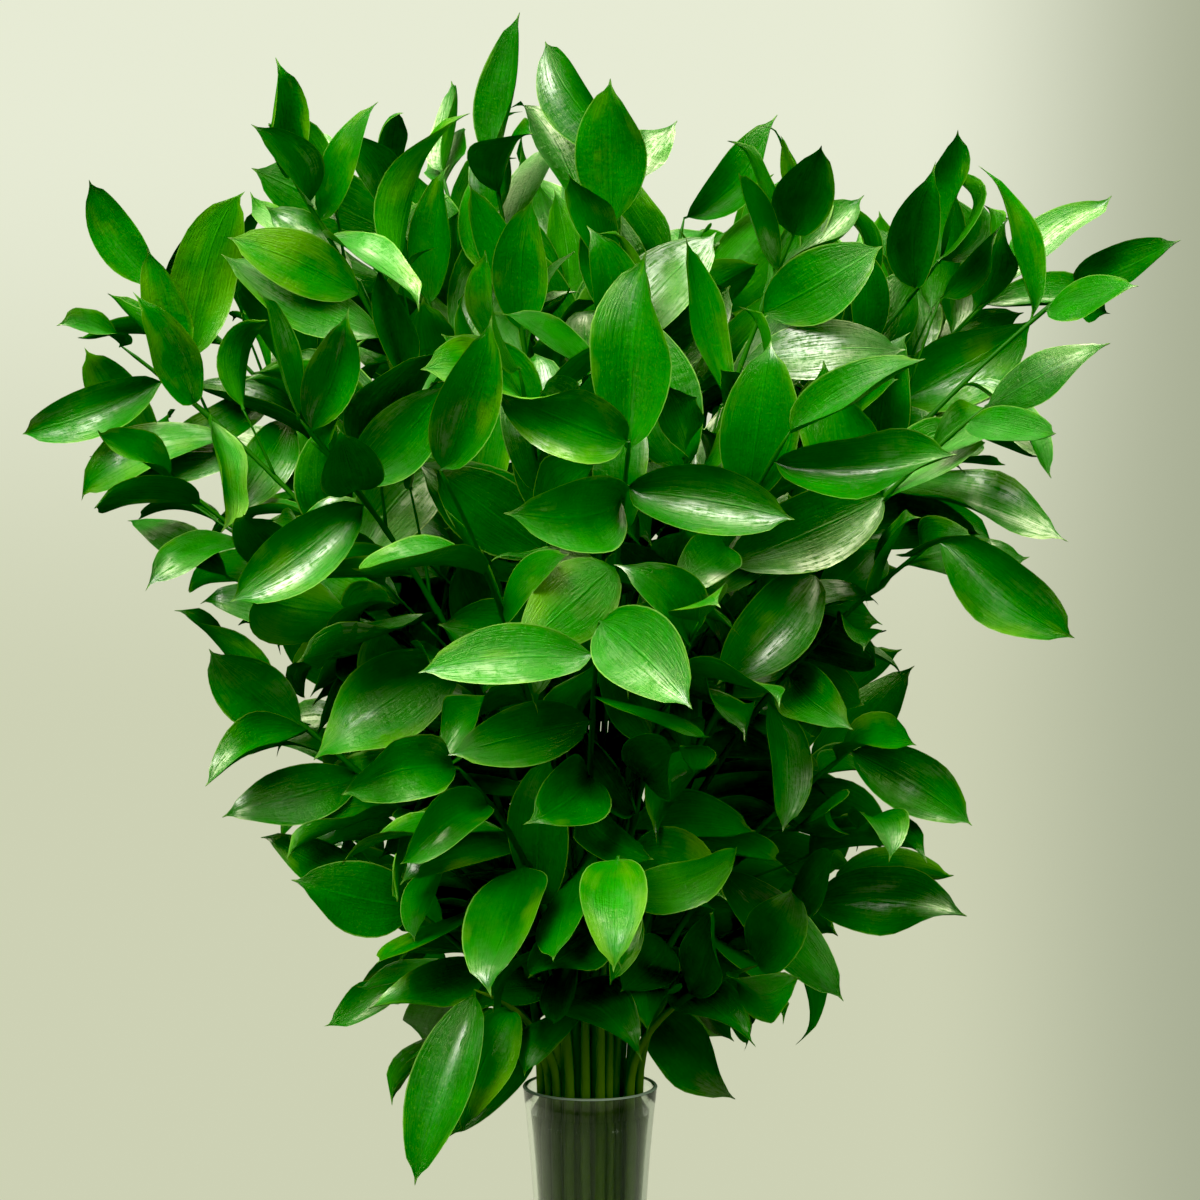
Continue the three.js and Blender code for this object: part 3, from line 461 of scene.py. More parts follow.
def mesh_object(name, points, faces, materials, face_materials=None):
    mesh = bpy.data.meshes.new(name)
    mesh.from_pydata([tuple(point) for point in points], [], faces)
    for material in materials:
        mesh.materials.append(material)
    if face_materials is not None:
        mesh.polygons.foreach_set("material_index", face_materials)
    mesh.polygons.foreach_set("use_smooth", [True] * len(mesh.polygons))
    mesh.update()
    made = bpy.data.objects.new(name, mesh)
    bpy.context.scene.collection.objects.link(made)
    return made


def lathe(name, rings, materials):
    """A body of revolution about Z from (radius, height) rings. A ring of no radius is one point."""
    points, starts, sides = [], [], ROUND_SIDES
    for radius, height in rings:
        starts.append(len(points))
        count = sides if radius > 0 else 1
        for side in range(count):
            angle = 2 * math.pi * side / sides
            points.append((radius * math.cos(angle), radius * math.sin(angle), height))
    faces = []
    for ring in range(len(rings) - 1):
        here, there = rings[ring][0] > 0, rings[ring + 1][0] > 0
        for side in range(sides):
            after = (side + 1) % sides
            a = starts[ring] + (side if here else 0)
            b = starts[ring] + (after if here else 0)
            c = starts[ring + 1] + (after if there else 0)
            d = starts[ring + 1] + (side if there else 0)
            faces.append([a, b, c, d] if here and there else [a, c, d] if not here else [a, b, c])
    return mesh_object(name, points, faces, materials)


def unit(vectors):
    return vectors / np.maximum(np.sqrt((vectors * vectors).sum(axis=-1, keepdims=True)), 1e-12)


def cross(first, second):
    (a, b, c), (d, e, f) = np.moveaxis(first, -1, 0), np.moveaxis(second, -1, 0)
    return np.stack([b * f - c * e, c * d - a * f, a * e - b * d], axis=-1)


def turned(vectors, axes, angles):
    """Vectors turned about unit axes, one angle for each."""
    cos, sin = np.cos(angles)[:, None], np.sin(angles)[:, None]
    dot = (vectors * axes).sum(axis=1, keepdims=True)
    return vectors * cos + cross(axes, vectors) * sin + axes * dot * (1 - cos)


# ---- Reading the stems from their solids ----

def welded(node):
    """The node's corners, each once, and for each the set of its neighbours."""
    mesh = node.data
    raw = np.empty(len(mesh.vertices) * 3)
    mesh.vertices.foreach_get("co", raw)
    raw = raw.reshape(-1, 3)
    _, first, same = np.unique(np.round(raw, 6), axis=0, return_index=True, return_inverse=True)
    same = same.reshape(-1)
    neighbours = [set() for _ in first]
    for edge in mesh.edges:
        a, b = (int(same[corner]) for corner in edge.vertices)
        if a != b:
            neighbours[a].add(b)
            neighbours[b].add(a)
    return raw[first], neighbours


def rings_from_tip(tip, neighbours):
    """The two rings of three corners that follow a leaf's tip, or None if it isn't one."""
    outer = neighbours[tip]
    inner = set().union(*(neighbours[corner] for corner in outer)) - outer - {tip}
    return (outer, inner) if len(outer) == len(inner) == 3 else None


def read_leaf(tip, rings, points):
    """A leaf's line and face: its root, tip, arch, the direction its widest place faces, twist and width."""
    middles, normals, widths = [], [], []
    for ring in rings:
        corners = [points[corner] for corner in ring]
        pairs = [(0, 1, 2), (0, 2, 1), (1, 2, 0)]
        left, right, keel = max(pairs, key=lambda pair: np.linalg.norm(corners[pair[0]] - corners[pair[1]]))
        middles.append((corners[left] + corners[right]) / 2)
        normals.append(unit(middles[-1] - corners[keel]))
        widths.append(np.linalg.norm(corners[left] - corners[right]))
    if abs(widths[0] / widths[1] - SOLID_SHARES[2]) > SHARE_SLACK:
        return None
    # The leaf's middle line is a parabola through its tip and the middles of both rings.
    _, inner, outer = SOLID_STATIONS
    curve = np.polyfit([1, outer, inner], np.array([points[tip], *middles]), 2)
    root, arch = curve[2], -curve[0] / 4
    reach = points[tip] - root
    if not SOLID_LENGTHS[0] < np.linalg.norm(reach) < SOLID_LENGTHS[1]:
        return None
    leaf = {"root": root, "tip": points[tip], "arch": arch, "face": normals[1], "twist": 0.0,
            "width": widths[1]}
    heading = unit(reach + 4 * arch * (1 - 2 * outer))
    level = leaf_frames(leaf, np.array([outer]))[2][0]
    turn = math.atan2(cross(level, normals[0]).dot(heading), level.dot(normals[0]))
    leaf["twist"] = turn / (outer - inner)
    return leaf


def root_corners(leaf):
    """The corners of the leaf's solid next to its root."""
    middle, side, face = (found[0] for found in leaf_frames(leaf, np.array(SOLID_STATIONS[:1])))
    half = side * leaf["width"] / 2 * SOLID_SHARES[0]
    return np.array([middle + half, middle - half, middle - face * SOLID_KEEL])


def bend(neck, shoulder, tip, shares):
    """A curve that leaves the neck towards the shoulder and comes to the tip from there."""
    shares = np.asarray(shares)[:, None]
    return neck * (1 - shares) ** 2 + 2 * shoulder * shares * (1 - shares) + tip * shares ** 2


def read_stem(node):
    """A stem's foot, neck and line above it, and its leaves."""
    points, neighbours = welded(node)
    leaves, belongs = [], np.ones(len(points), dtype=bool)
    for corner, around in enumerate(neighbours):
        rings = rings_from_tip(corner, neighbours) if len(around) == 3 else None
        leaf = read_leaf(corner, rings, points) if rings else None
        if leaf is not None:
            leaves.append(leaf)
            belongs[[corner, *rings[0], *rings[1]]] = False
            for place in root_corners(leaf):
                belongs &= np.linalg.norm(points - place, axis=1) > ROOT_SLACK
    own = points[belongs]
    foot = own[own[:, 2] < CUP_FLOOR + 0.002].mean(axis=0)
    neck = own[np.abs(own[:, 2] - VASE_HEIGHT) < NECK_SLACK].mean(axis=0)
    above = own[own[:, 2] > VASE_HEIGHT + 0.001]
    rise = unit(neck - foot)
    furthest = above[np.argmax(np.linalg.norm(above - neck, axis=1))]
    tip = above[np.linalg.norm(above - furthest, axis=1) < TIP_SLACK].mean(axis=0)
    shares = np.linspace(0, 1, 60)

    def shoulder(share):
        return neck + rise * np.linalg.norm(tip - neck) * share

    def stray(share):
        line = bend(neck, shoulder(share), tip, shares)
        return np.median(np.linalg.norm(above[:, None] - line[None], axis=2).min(axis=1))

    return {"name": node.name, "foot": foot, "neck": neck, "shoulder": shoulder(min(SOLID_BEND, key=stray)),
            "tip": tip, "leaves": leaves}


# ---- Leaf shape ----

def outline_of_leaf(along):
    """Half width over the widest half width: a pointed oval, rounder near its root, with a drawn-out tip."""
    body = (along / LEAF_WIDEST) ** 0.85 * ((1 - along) / (1 - LEAF_WIDEST)) ** 0.95
    point = TIP_WIDTH * ((1 - along) / (1 - TIP_FROM)) ** 1.8
    return np.where(along > TIP_FROM, point, body)


def leaf_frames(leaf, t):
    """The leaf's middle line, the way to its side and the way it faces, at places along it."""
    reach = leaf["tip"] - leaf["root"]
    middle = leaf["root"] + np.outer(t, reach) + np.outer(4 * t * (1 - t), leaf["arch"])
    heading = unit(reach + np.outer(4 * (1 - 2 * t), leaf["arch"]))
    face = np.tile(leaf["face"], (len(t), 1))
    face = unit(face - heading * np.sum(face * heading, axis=1, keepdims=True))
    face = turned(face, heading, leaf["twist"] * (t - SOLID_STATIONS[1]))
    return middle, cross(heading, face), face


def smooth_step(values):
    values = np.clip(values, 0, 1)
    return values * values * (3 - 2 * values)


def beyond(t, start):
    """How far places along a leaf lie between a start and the tip."""
    return np.clip((t - start) / (1 - start), 0, 1)


def leaf_sheet(leaf, along, across):
    """The leaf's upper face as a grid of points, and the direction that it faces at each row.

    Its middle line sweeps aside and its tip bends and turns. Its sides rise as in a spoon and as at a
    crease along the middle, and its margins ripple.
    """
    t, u, play = along, across[None, :], leaf["play"]
    length = np.linalg.norm(leaf["tip"] - leaf["root"])
    middle, side, face = leaf_frames(leaf, t)
    middle = middle + np.outer(np.clip(1 - t / 0.13, 0, 1) ** 2, leaf["join"] - leaf["root"])
    middle = middle + side * (play * leaf["sweep"] * length * 4 * t * (1 - t))[:, None]
    bent = leaf["tip_bend"] * beyond(t, BEND_FROM) ** 2 + leaf["hook"] * beyond(t, HOOK_FROM) ** 2
    middle = middle - face * (play * bent)[:, None]
    heading = cross(face, side)
    turn = play * leaf["tip_turn"] * smooth_step(beyond(t, TURN_FROM))
    side, face = turned(side, heading, turn), turned(face, heading, turn)
    half = leaf["width"] / 2 * outline_of_leaf(t)
    half = np.maximum(half * smooth_step((t - 0.015) / 0.075), np.where(t < 0.5, STALK_HALF_WIDTH, 0))
    spoon = play * (leaf["cup"] * (1.3 - 0.7 * t))[:, None]
    crease = play * (leaf["fold"] * (1.25 - 0.6 * t))[:, None]
    lift = half[:, None] * (spoon * u ** 2 + crease * (np.sqrt(u ** 2 + 0.012) - 0.11))
    ripple = np.sin(2 * np.pi * (leaf["waves"] * t[:, None] + leaf["phase"]) + 1.6 * (u > 0))
    swell = np.sin(np.pi * np.clip(t, 0, 1))[:, None] ** 0.6
    lift = lift + play * leaf["ripple"] * length * swell * np.abs(u) ** 2.2 * ripple
    drawn_in = 1 - 0.55 * spoon ** 2 * u ** 2 - 0.35 * crease ** 2
    points = middle[:, None, :] + side[:, None, :] * (half[:, None] * u * drawn_in)[..., None]
    return points + face[:, None, :] * lift[..., None], face


def leaf_faces(rows, columns):
    """Faces of one side of a leaf as a grid that ends in a point: quads, then triangles at the tip."""
    faces = []
    for row in range(rows - 2):
        for column in range(columns - 1):
            a = row * columns + column
            faces.append((a, a + 1, a + columns + 1, a + columns))
    tip = (rows - 1) * columns
    for column in range(columns - 1):
        a = (rows - 2) * columns + column
        faces.append((a, a + 1, tip))
    return faces


FINE_FACES = leaf_faces(len(ALONG), len(ACROSS))
ROUGH_FACES = leaf_faces(len(ROUGH_ALONG) - 1, len(ROUGH_ACROSS))
OUTER_FACES = leaf_faces(len(ROUGH_ALONG) - 1 - ROOT_ROWS, len(ROUGH_ACROSS))


def one_side(grid):
    """The grid's rows as points, with its last row as one point."""
    return np.vstack([grid[:-1].reshape(-1, 3), grid[-1:, grid.shape[1] // 2]])


def rough_sheet(leaf):
    """The leaf as a few points, from a little way out of its root, to find what it would cut."""
    return one_side(leaf_sheet(leaf, ROUGH_ALONG[1:], ROUGH_ACROSS)[0])


def finish_leaf(leaf, line, key):
    """Joins a leaf to its stem's line and gives it its own curls, waves and tone."""
    draw = random.Random(key)
    gaps = np.linalg.norm(line - leaf["root"], axis=1)
    leaf["join"] = line[gaps.argmin()] if gaps.min() < JOIN_REACH else leaf["root"]
    leaf.update(
        cup=draw.gauss(0.30, 0.22), fold=abs(draw.gauss(0.14, 0.20)), tip_bend=draw.uniform(-0.007, 0.013),
        hook=draw.uniform(-0.005, 0.008), tip_turn=draw.gauss(0.0, 0.60), sweep=draw.gauss(0.0, 0.045),
        waves=draw.uniform(0.8, 2.0), phase=draw.random(), ripple=abs(draw.gauss(0.0, 0.024)),
        tone=min(1.0, max(0.0, draw.gauss(0.36, 0.14))), blade=draw.random(), play=1.0)


# ---- Putting a stem and its leaves together ----

class Assembly:
    """Points and faces of one piece, with the map and tones that its finish reads."""

    def __init__(self):
        self.points, self.faces, self.slots = [], [], []
        self.map, self.tones, self.blades = [], [], []
        self.count = 0

    def add(self, points, faces, slot, leaf_map, tone=0.0, blade=0.0):
        """Adds points and faces in one material, kept within the solids' own box."""
        self.points.append(np.clip(points, *solid_box))
        self.faces.extend([tuple(corner + self.count for corner in face) for face in faces])
        self.slots.extend([slot] * len(faces))
        self.map.append(leaf_map)
        self.tones.append(np.full(len(points), tone))
        self.blades.append(np.full(len(points), blade))
        self.count += len(points)

    def make(self, name, materials):
        made = mesh_object(name, np.vstack(self.points), self.faces, materials, self.slots)
        mesh = made.data
        corners = np.empty(len(mesh.loops), dtype=np.int32)
        mesh.loops.foreach_get("vertex_index", corners)
        layer = mesh.uv_layers.new(name="leaf")
        layer.data.foreach_set("uv", np.vstack(self.map)[corners].astype(np.float32).ravel())
        for attribute, values in (("tone", self.tones), ("blade", self.blades)):
            made_attribute = mesh.attributes.new(attribute, "FLOAT", "POINT")
            made_attribute.data.foreach_set("value", np.concatenate(values).astype(np.float32))
        return made


FACE_SLOT, BACK_SLOT, STEM_SLOT = 0, 1, 2


def add_leaf(assembly, leaf):
    """A thin blade with a face and an underside, thicker at its root, lens-shaped across."""
    top, face = leaf_sheet(leaf, ALONG, ACROSS)
    body = np.clip(ALONG / 0.05, 0, 1)[:, None]
    lens = np.sqrt(np.clip(1 - ACROSS[None, :] ** 2, 0, 1))
    thick = lens * (BLADE_THICKNESS + (1 - body) * ROOT_THICKNESS)
    back = top - face[:, None, :] * thick[..., None]
    across, along = np.meshgrid((ACROSS + 1) / 2, ALONG)
    leaf_map = np.vstack([np.stack([across, along], -1)[:-1].reshape(-1, 2), [[0.5, 1.0]]])
    reverse = [tuple(reversed(face)) for face in FINE_FACES]
    for sheet, faces, slot in ((top, FINE_FACES, FACE_SLOT), (back, reverse, BACK_SLOT)):
        assembly.add(one_side(sheet), faces, slot, leaf_map, leaf["tone"], leaf["blade"])


def tube(line, radii, sides):
    """A round tube along a line, closed at both ends, as points, faces and a map round and along it."""
    tangents = unit(np.gradient(line, axis=0))
    across = unit(cross(tangents[0], np.array([0.3, 1.0, 0.1])))
    points, faces, where = [], [], []
    for place, (centre, tangent, radius) in enumerate(zip(line, tangents, radii)):
        across = unit(across - tangent * across.dot(tangent))
        over = cross(tangent, across)
        for side in range(sides):
            angle = 2 * math.pi * side / sides
            points.append(centre + radius * (across * math.cos(angle) + over * math.sin(angle)))
            where.append((side / sides, place / len(line)))
    for place in range(len(line) - 1):
        for side in range(sides):
            a, b = place * sides + side, place * sides + (side + 1) % sides
            faces.append((a, b, b + sides, a + sides))
    last = (len(line) - 1) * sides
    faces += [tuple(reversed(range(sides))), tuple(range(last, last + sides))]
    return np.array(points), faces, np.array(where)


def stem_line(stem):
    """The stem's middle from its foot to its tip, and how many of its points lie below the neck."""
    reach = np.linalg.norm(stem["tip"] - stem["neck"])
    below = np.linspace(0, 1, 9)[:-1, None] * (stem["neck"] - stem["foot"]) + stem["foot"]
    shares = np.linspace(0, 1, max(12, int(reach / STEM_STEP)))
    above = bend(stem["neck"], stem["shoulder"], stem["tip"], shares)
    return np.vstack([below, above]), len(below)


def add_stem(assembly, stem):
    """A tapered stem that swells where leaves and twigs join it, and its twigs."""
    line, start = stem["line"], stem["start"]
    lengths = lengths_along(line)
    shares = np.clip((lengths - lengths[start]) / (lengths[-1] - lengths[start]), 0, 1)
    radii = STEM_RADIUS + (STEM_TIP_RADIUS - STEM_RADIUS) * shares ** 0.8
    thicker, reach = SWELLING
    for joint in [leaf["join"] for leaf in stem["leaves"]] + [twig["line"][0] for twig in stem["twigs"]]:
        radii = radii * (1 + thicker * np.exp(-(np.linalg.norm(line - joint, axis=1) / reach) ** 2))
    radii[-1] *= 0.35
    points, faces, where = tube(line, radii, STEM_SIDES)
    assembly.add(points, faces, STEM_SLOT, where)
    for twig in stem["twigs"]:
        radii = np.linspace(TWIG_RADIUS, 0.55 * TWIG_RADIUS, len(twig["line"]))
        points, faces, where = tube(twig["line"], radii, TWIG_SIDES)
        assembly.add(points, faces, STEM_SLOT, where)


# ---- More twigs and leaves on the stems ----

class Side:
    """What the bunch shows on one side: the cells of a grid that it spans, and how near it comes in each."""

    def __init__(self, look, cloud):
        self.look = look
        places, _ = look(cloud)
        self.low, self.spans = closed_mask(places)
        self.depths = np.full(self.spans.shape, FAR)

    def cells(self, points):
        places, depths = self.look(points)
        cells = np.floor(places).astype(int) - self.low
        inside = ((cells >= 0) & (cells < self.spans.shape)).all(axis=-1)
        return cells[inside].T, depths[inside], inside.all()

    def spans_all(self, points):
        (across, up), _, inside = self.cells(points)
        return inside and self.spans[across, up].all()

    def gain(self, points):
        """How much a leaf would close: a gap through the bunch counts most, a deep hollow less."""
        (across, up), depths, _ = self.cells(points)
        before = self.depths[across, up]
        closed = np.where(before == FAR, GAP_GAIN, np.clip((before - depths) / HOLLOW, 0, 1))
        return closed.sum() / len(points)

    def show(self, points):
        (across, up), depths, _ = self.cells(points)
        np.minimum.at(self.depths, (across, up), depths)


def looks():
    """The five sides from which the bunch is filled: the camera's, the back, both flanks and the top."""
    def along_axis(first, second, axis, sign):
        return lambda points: (points[:, [first, second]] / CELL, points[:, axis] * sign)

    return [lambda points: (on_picture(points) / PICTURE_CELL, points[:, 1]),
            along_axis(0, 2, 1, -1), along_axis(1, 2, 0, -1), along_axis(1, 2, 0, 1), along_axis(0, 1, 2, -1)]


class Bodies:
    """Leaves or stems, each with its box, to tell what something new would cut."""

    def __init__(self):
        self.boxes, self.trees = [], []

    def put(self, points, faces=ROUGH_FACES, place=None):
        """Adds a body, or puts it in the place of an earlier one. Returns its place."""
        place = len(self.trees) if place is None else place
        self.boxes[place:place + 1] = [np.concatenate([points.min(axis=0), -points.max(axis=0)])]
        self.trees[place:place + 1] = [tree_of(points, faces)]
        return place

    def cut_by(self, points, but=None, faces=ROUGH_FACES):
        """Whether a rough leaf or twig cuts any of them but one."""
        room = np.concatenate([points.max(axis=0), -points.min(axis=0)])
        near = np.flatnonzero((np.array(self.boxes) <= room).all(axis=1))
        tree = tree_of(points, faces)
        return any(place != but and tree.overlap(self.trees[place]) for place in near)


class Room:
    """What stands where, so that a new leaf cuts through nothing and keeps within the bunch."""

    def __init__(self, stems):
        self.leaves, self.stems = Bodies(), Bodies()
        every, polygons = [], []
        for stem in stems:
            self.put_stem(stem["line"], STEM_RADIUS)
            for leaf in stem["leaves"]:
                points = rough_sheet({**leaf, "play": 0.0})
                leaf["place"] = self.leaves.put(points)
                polygons += [tuple(corner + len(every) for corner in face) for face in ROUGH_FACES]
                every.extend(points)
        self.shown = BVHTree.FromPolygons([tuple(point) for point in every], polygons)
        for stem in stems:
            for leaf in stem["leaves"]:
                self.curl(leaf)
        clouds = [dense_points(leaf) for stem in stems for leaf in stem["leaves"]]
        self.sides = [Side(look, np.vstack(clouds)) for look in looks()]
        for cloud in clouds:
            self.show(cloud)

    def put_stem(self, line, radius):
        points, faces, _ = tube(line, np.full(len(line), radius), ROUGH_STEM_SIDES)
        return self.stems.put(points, faces)

    def curl(self, leaf):
        """Lets a leaf of the solids curl as far as its neighbours leave room."""
        for play in (1.0, 0.6, 0.3, 0.0):
            leaf["play"] = play
            points = rough_sheet(leaf)
            if not self.leaves.cut_by(points, leaf["place"]):
                break
        self.leaves.put(points, place=leaf["place"])

    def takes(self, leaf, own_stem):
        """Whether the leaf cuts nothing, its own stem too beyond its root, and hides little that shows."""
        points = rough_sheet(leaf)
        outer = points[ROOT_ROWS * len(ROUGH_ACROSS):]
        return not (self.leaves.cut_by(points) or self.stems.cut_by(points, own_stem)
                    or self.stems.cut_by(outer, faces=OUTER_FACES) or self.covers(points))

    def covers(self, points):
        """Whether the leaf stands before leaves of the solids that show from the camera."""
        hidden = 0
        for point in points:
            towards = (Vector(point) - EYE).normalized()
            behind = self.shown.ray_cast(Vector(point) + towards * SIGHT_STEP, towards)
            if behind[0] is None:
                continue
            first = self.shown.ray_cast(EYE, towards)
            if (first[0] - behind[0]).length < SIGHT_SLACK:
                hidden += 1
        return hidden > MOST_COVERED

    def spans(self, cloud):
        """Whether points lie within what the bunch spans on all its sides."""
        return all(side.spans_all(cloud) for side in self.sides)

    def gain(self, cloud):
        """How much a leaf would close the bunch, as all its sides show it."""
        return sum(side.gain(cloud) * weight for side, weight in zip(self.sides, SIDE_WEIGHTS))

    def show(self, cloud):
        """Marks what a leaf covers on each side."""
        for side in self.sides:
            side.show(cloud)


def sample_points(leaf):
    return leaf_sheet(leaf, SAMPLE_ALONG, SAMPLE_ACROSS)[0].reshape(-1, 3)


def dense_points(leaf):
    return leaf_sheet(leaf, DENSE_ALONG, DENSE_ACROSS)[0].reshape(-1, 3)


def tree_of(points, faces):
    return BVHTree.FromPolygons([tuple(point) for point in points], faces, epsilon=LEAF_GAP)


def closed_mask(places):
    """A grid of the cells that hold a place, with its small gaps closed."""
    margin = CLOSING + 2
    low = np.floor(places.min(axis=0)).astype(int) - margin
    cells = np.floor(places).astype(int) - low
    grid = np.zeros(cells.max(axis=0) + margin + 1, dtype=bool)
    grid[cells[:, 0], cells[:, 1]] = True
    for _ in range(CLOSING):
        grid = grown(grid)
    for _ in range(CLOSING):
        grid = ~grown(~grid)
    return low, grid


def grown(grid):
    wider = grid.copy()
    wider[1:] |= grid[:-1]
    wider[:-1] |= grid[1:]
    wider[:, 1:] |= grid[:, :-1]
    wider[:, :-1] |= grid[:, 1:]
    return wider


def clear_of_vase(points):
    low = points[:, 2] < VASE_HEIGHT + VASE_GAP
    return not (low & (np.hypot(points[:, 0], points[:, 1]) < RIM_RADIUS + VASE_GAP)).any()


def sprout(root, growth, turn, wander, draw):
    """The direction in which a leaf or twig leaves a stem, lower ones drooping and upper ones rising."""
    outward = unit(np.array([root[0], root[1], 0.0]) + 1e-9)
    height = min(1.0, max(0.0, (root[2] - LOW_LEAVES) / LEAF_SPAN))
    level = unit(cross(growth, np.array([0.2, 0.9, 0.3])))
    sideways = turned(level[None], growth[None], np.array([turn + wander * draw.uniform(-1.8, 1.8)]))[0]
    heading = growth * draw.uniform(0.35, 0.95) + sideways + outward * draw.uniform(0.0, 0.6)
    heading[2] += HANG + RISE * height + draw.uniform(-0.3, 0.3)
    return unit(heading), outward


def new_leaf(root, growth, turn, draw, wander):
    """One way in which a leaf can grow at a place. As it wanders, it turns more and is shorter."""
    heading, outward = sprout(root, growth, turn, wander, draw)
    length = draw.uniform(*LEAF_LENGTHS) * (1 - SHORTER * wander)
    upper = np.array([0, 0, 0.9]) + outward * 0.6 + np.array([draw.uniform(-0.8, 0.8) for _ in range(3)])
    face = unit(upper - heading * upper.dot(heading))
    return {"root": root, "tip": root + heading * length, "arch": face * draw.uniform(0.001, 0.012),
            "face": face, "twist": draw.uniform(-1.0, 1.0),
            "width": LEAF_SLENDER * length * draw.uniform(0.85, 1.14)}


def new_twig(stem, index, turn, draw):
    """A side twig that leaves the stem and bends upwards."""
    root, growth = stem["line"][index], stem["growth"][index]
    heading, outward = sprout(root, growth, turn, 0.6, draw)
    length = draw.uniform(*TWIG_LENGTHS)
    rise = unit(growth + np.array([0, 0, 0.5]) + 0.5 * outward)
    shoulder = root + unit(heading + 0.6 * growth) * length * 0.5
    return bend(root, shoulder, shoulder + unit(heading + rise) * length * 0.5, np.linspace(0, 1, 9))


def lengths_along(line):
    return np.concatenate([[0], np.cumsum(np.linalg.norm(np.diff(line, axis=0), axis=1))])


def places_along(line, first, last, pitch):
    """Indices into a line, evenly spaced between two distances along it."""
    lengths = lengths_along(line)
    distances = np.arange(first, lengths[-1] - last, pitch)
    return [int(index) for index in np.searchsorted(lengths, distances)]


def grow_twigs(stems, room):
    """Side twigs on the stems' upper parts, where they cut through no leaf and no other stem."""
    for stem in stems:
        stem["twigs"] = []
        for number, index in enumerate(places_along(stem["line"], stem["bare"] + 0.03, 0.03, TWIG_PITCH)):
            draw = random.Random(TWIG_SEED + stem["number"] * 100 + number)
            for _ in range(TWIG_ATTEMPTS):
                line = new_twig(stem, index, draw.uniform(0, 2 * math.pi), draw)
                points, faces, _ = tube(line[1:], np.full(len(line) - 1, TWIG_RADIUS), ROUGH_TWIG_SIDES)
                if (room.spans(line) and not room.leaves.cut_by(points, faces=faces)
                        and not room.stems.cut_by(points, stem["number"], faces)):
                    stem["twigs"].append({"line": line, "tree": room.put_stem(line, TWIG_RADIUS)})
                    break


def leaf_places(stems):
    """Where more leaves may grow: bare tips of stems, then places on stems and twigs in a seeded order."""
    tips, places = [], []
    for stem in stems:
        taken = np.array([leaf["join"] for leaf in stem["leaves"]]).reshape(-1, 3)

        def free(point, gap):
            return not len(taken) or np.linalg.norm(taken - point, axis=1).min() > gap

        line, number = stem["line"], stem["number"]
        if free(line[-1], FREE_ROUND_TIP):
            tips.append((stem, line, len(line) - 1, number, TIP_PLACE))
        for count, index in enumerate(places_along(line, stem["bare"], 0.003, LEAF_PITCH)):
            if free(line[index], FREE_ROUND_LEAF):
                places.append((stem, line, index, number, count))
        for twig in stem["twigs"]:
            for count, index in enumerate(places_along(twig["line"], 0.012, -0.004, LEAF_PITCH)):
                index = min(index, len(twig["line"]) - 1)
                places.append((stem, twig["line"], index, twig["tree"], TWIG_PLACE + count))
    random.Random(ORDER_SEED).shuffle(places)
    return tips + places


def best_leaf(line, index, tree, number, room):
    """The leaf that closes the bunch best at a place, or None if none fits."""
    seed = tree * 1000 + number
    draw = random.Random(seed)
    growth = unit(np.gradient(line, axis=0))[index]
    choices = []
    for attempt in range(ATTEMPTS):
        leaf = new_leaf(line[index], growth, number * GOLDEN_TURN + tree, draw, attempt / ATTEMPTS)
        finish_leaf(leaf, line, seed + 0.5)
        cloud = sample_points(leaf)
        if clear_of_vase(cloud) and room.spans(cloud):
            choices.append((room.gain(cloud), leaf))
    choices.sort(key=lambda choice: -choice[0])
    for gain, leaf in choices[:BEST_ATTEMPTS]:
        if gain > LEAST_GAIN and room.takes(leaf, tree):
            return leaf
    return None


def grow_more_leaves(stems, room):
    """Leaves on the stems and twigs, each turned the way that closes the bunch best."""
    for stem, line, index, tree, number in leaf_places(stems):
        leaf = best_leaf(line, index, tree, number, room)
        if leaf is not None:
            room.leaves.put(rough_sheet(leaf))
            room.show(dense_points(leaf))
            stem["more"].append(leaf)
    for stem in stems:
        drop_bare_ends(stem)
    print("more leaves", sum(len(stem["more"]) for stem in stems),
          "twigs", sum(len(stem["twigs"]) for stem in stems))


def drop_bare_ends(stem):
    """Ends the stem and its twigs at their last leaf."""
    joins = np.array([leaf["join"] for leaf in stem["leaves"] + stem["more"]])

    def last_leaf(line):
        near = np.linalg.norm(line[:, None] - joins[None], axis=2).min(axis=1) < AT_JOIN
        return int(np.flatnonzero(near).max()) if near[1:].any() else 0

    kept = []
    for twig in stem["twigs"]:
        end = last_leaf(twig["line"])
        if end > 1:
            kept.append({**twig, "line": twig["line"][:end + 1]})
    stem["twigs"] = kept
    joins = np.vstack([joins] + [twig["line"][:1] for twig in kept])
    stem["line"] = stem["line"][:max(last_leaf(stem["line"]), stem["start"] + 4) + 1]


# ---- Vase and water ----

def cup_radius(height):
    """The cup's outside radius, which flares towards the rim with the cube of the height."""
    share = (height - CUP_FLOOR) / (VASE_HEIGHT - CUP_FLOOR)
    return CUP_RADIUS + (RIM_RADIUS - CUP_RADIUS) * share ** 3


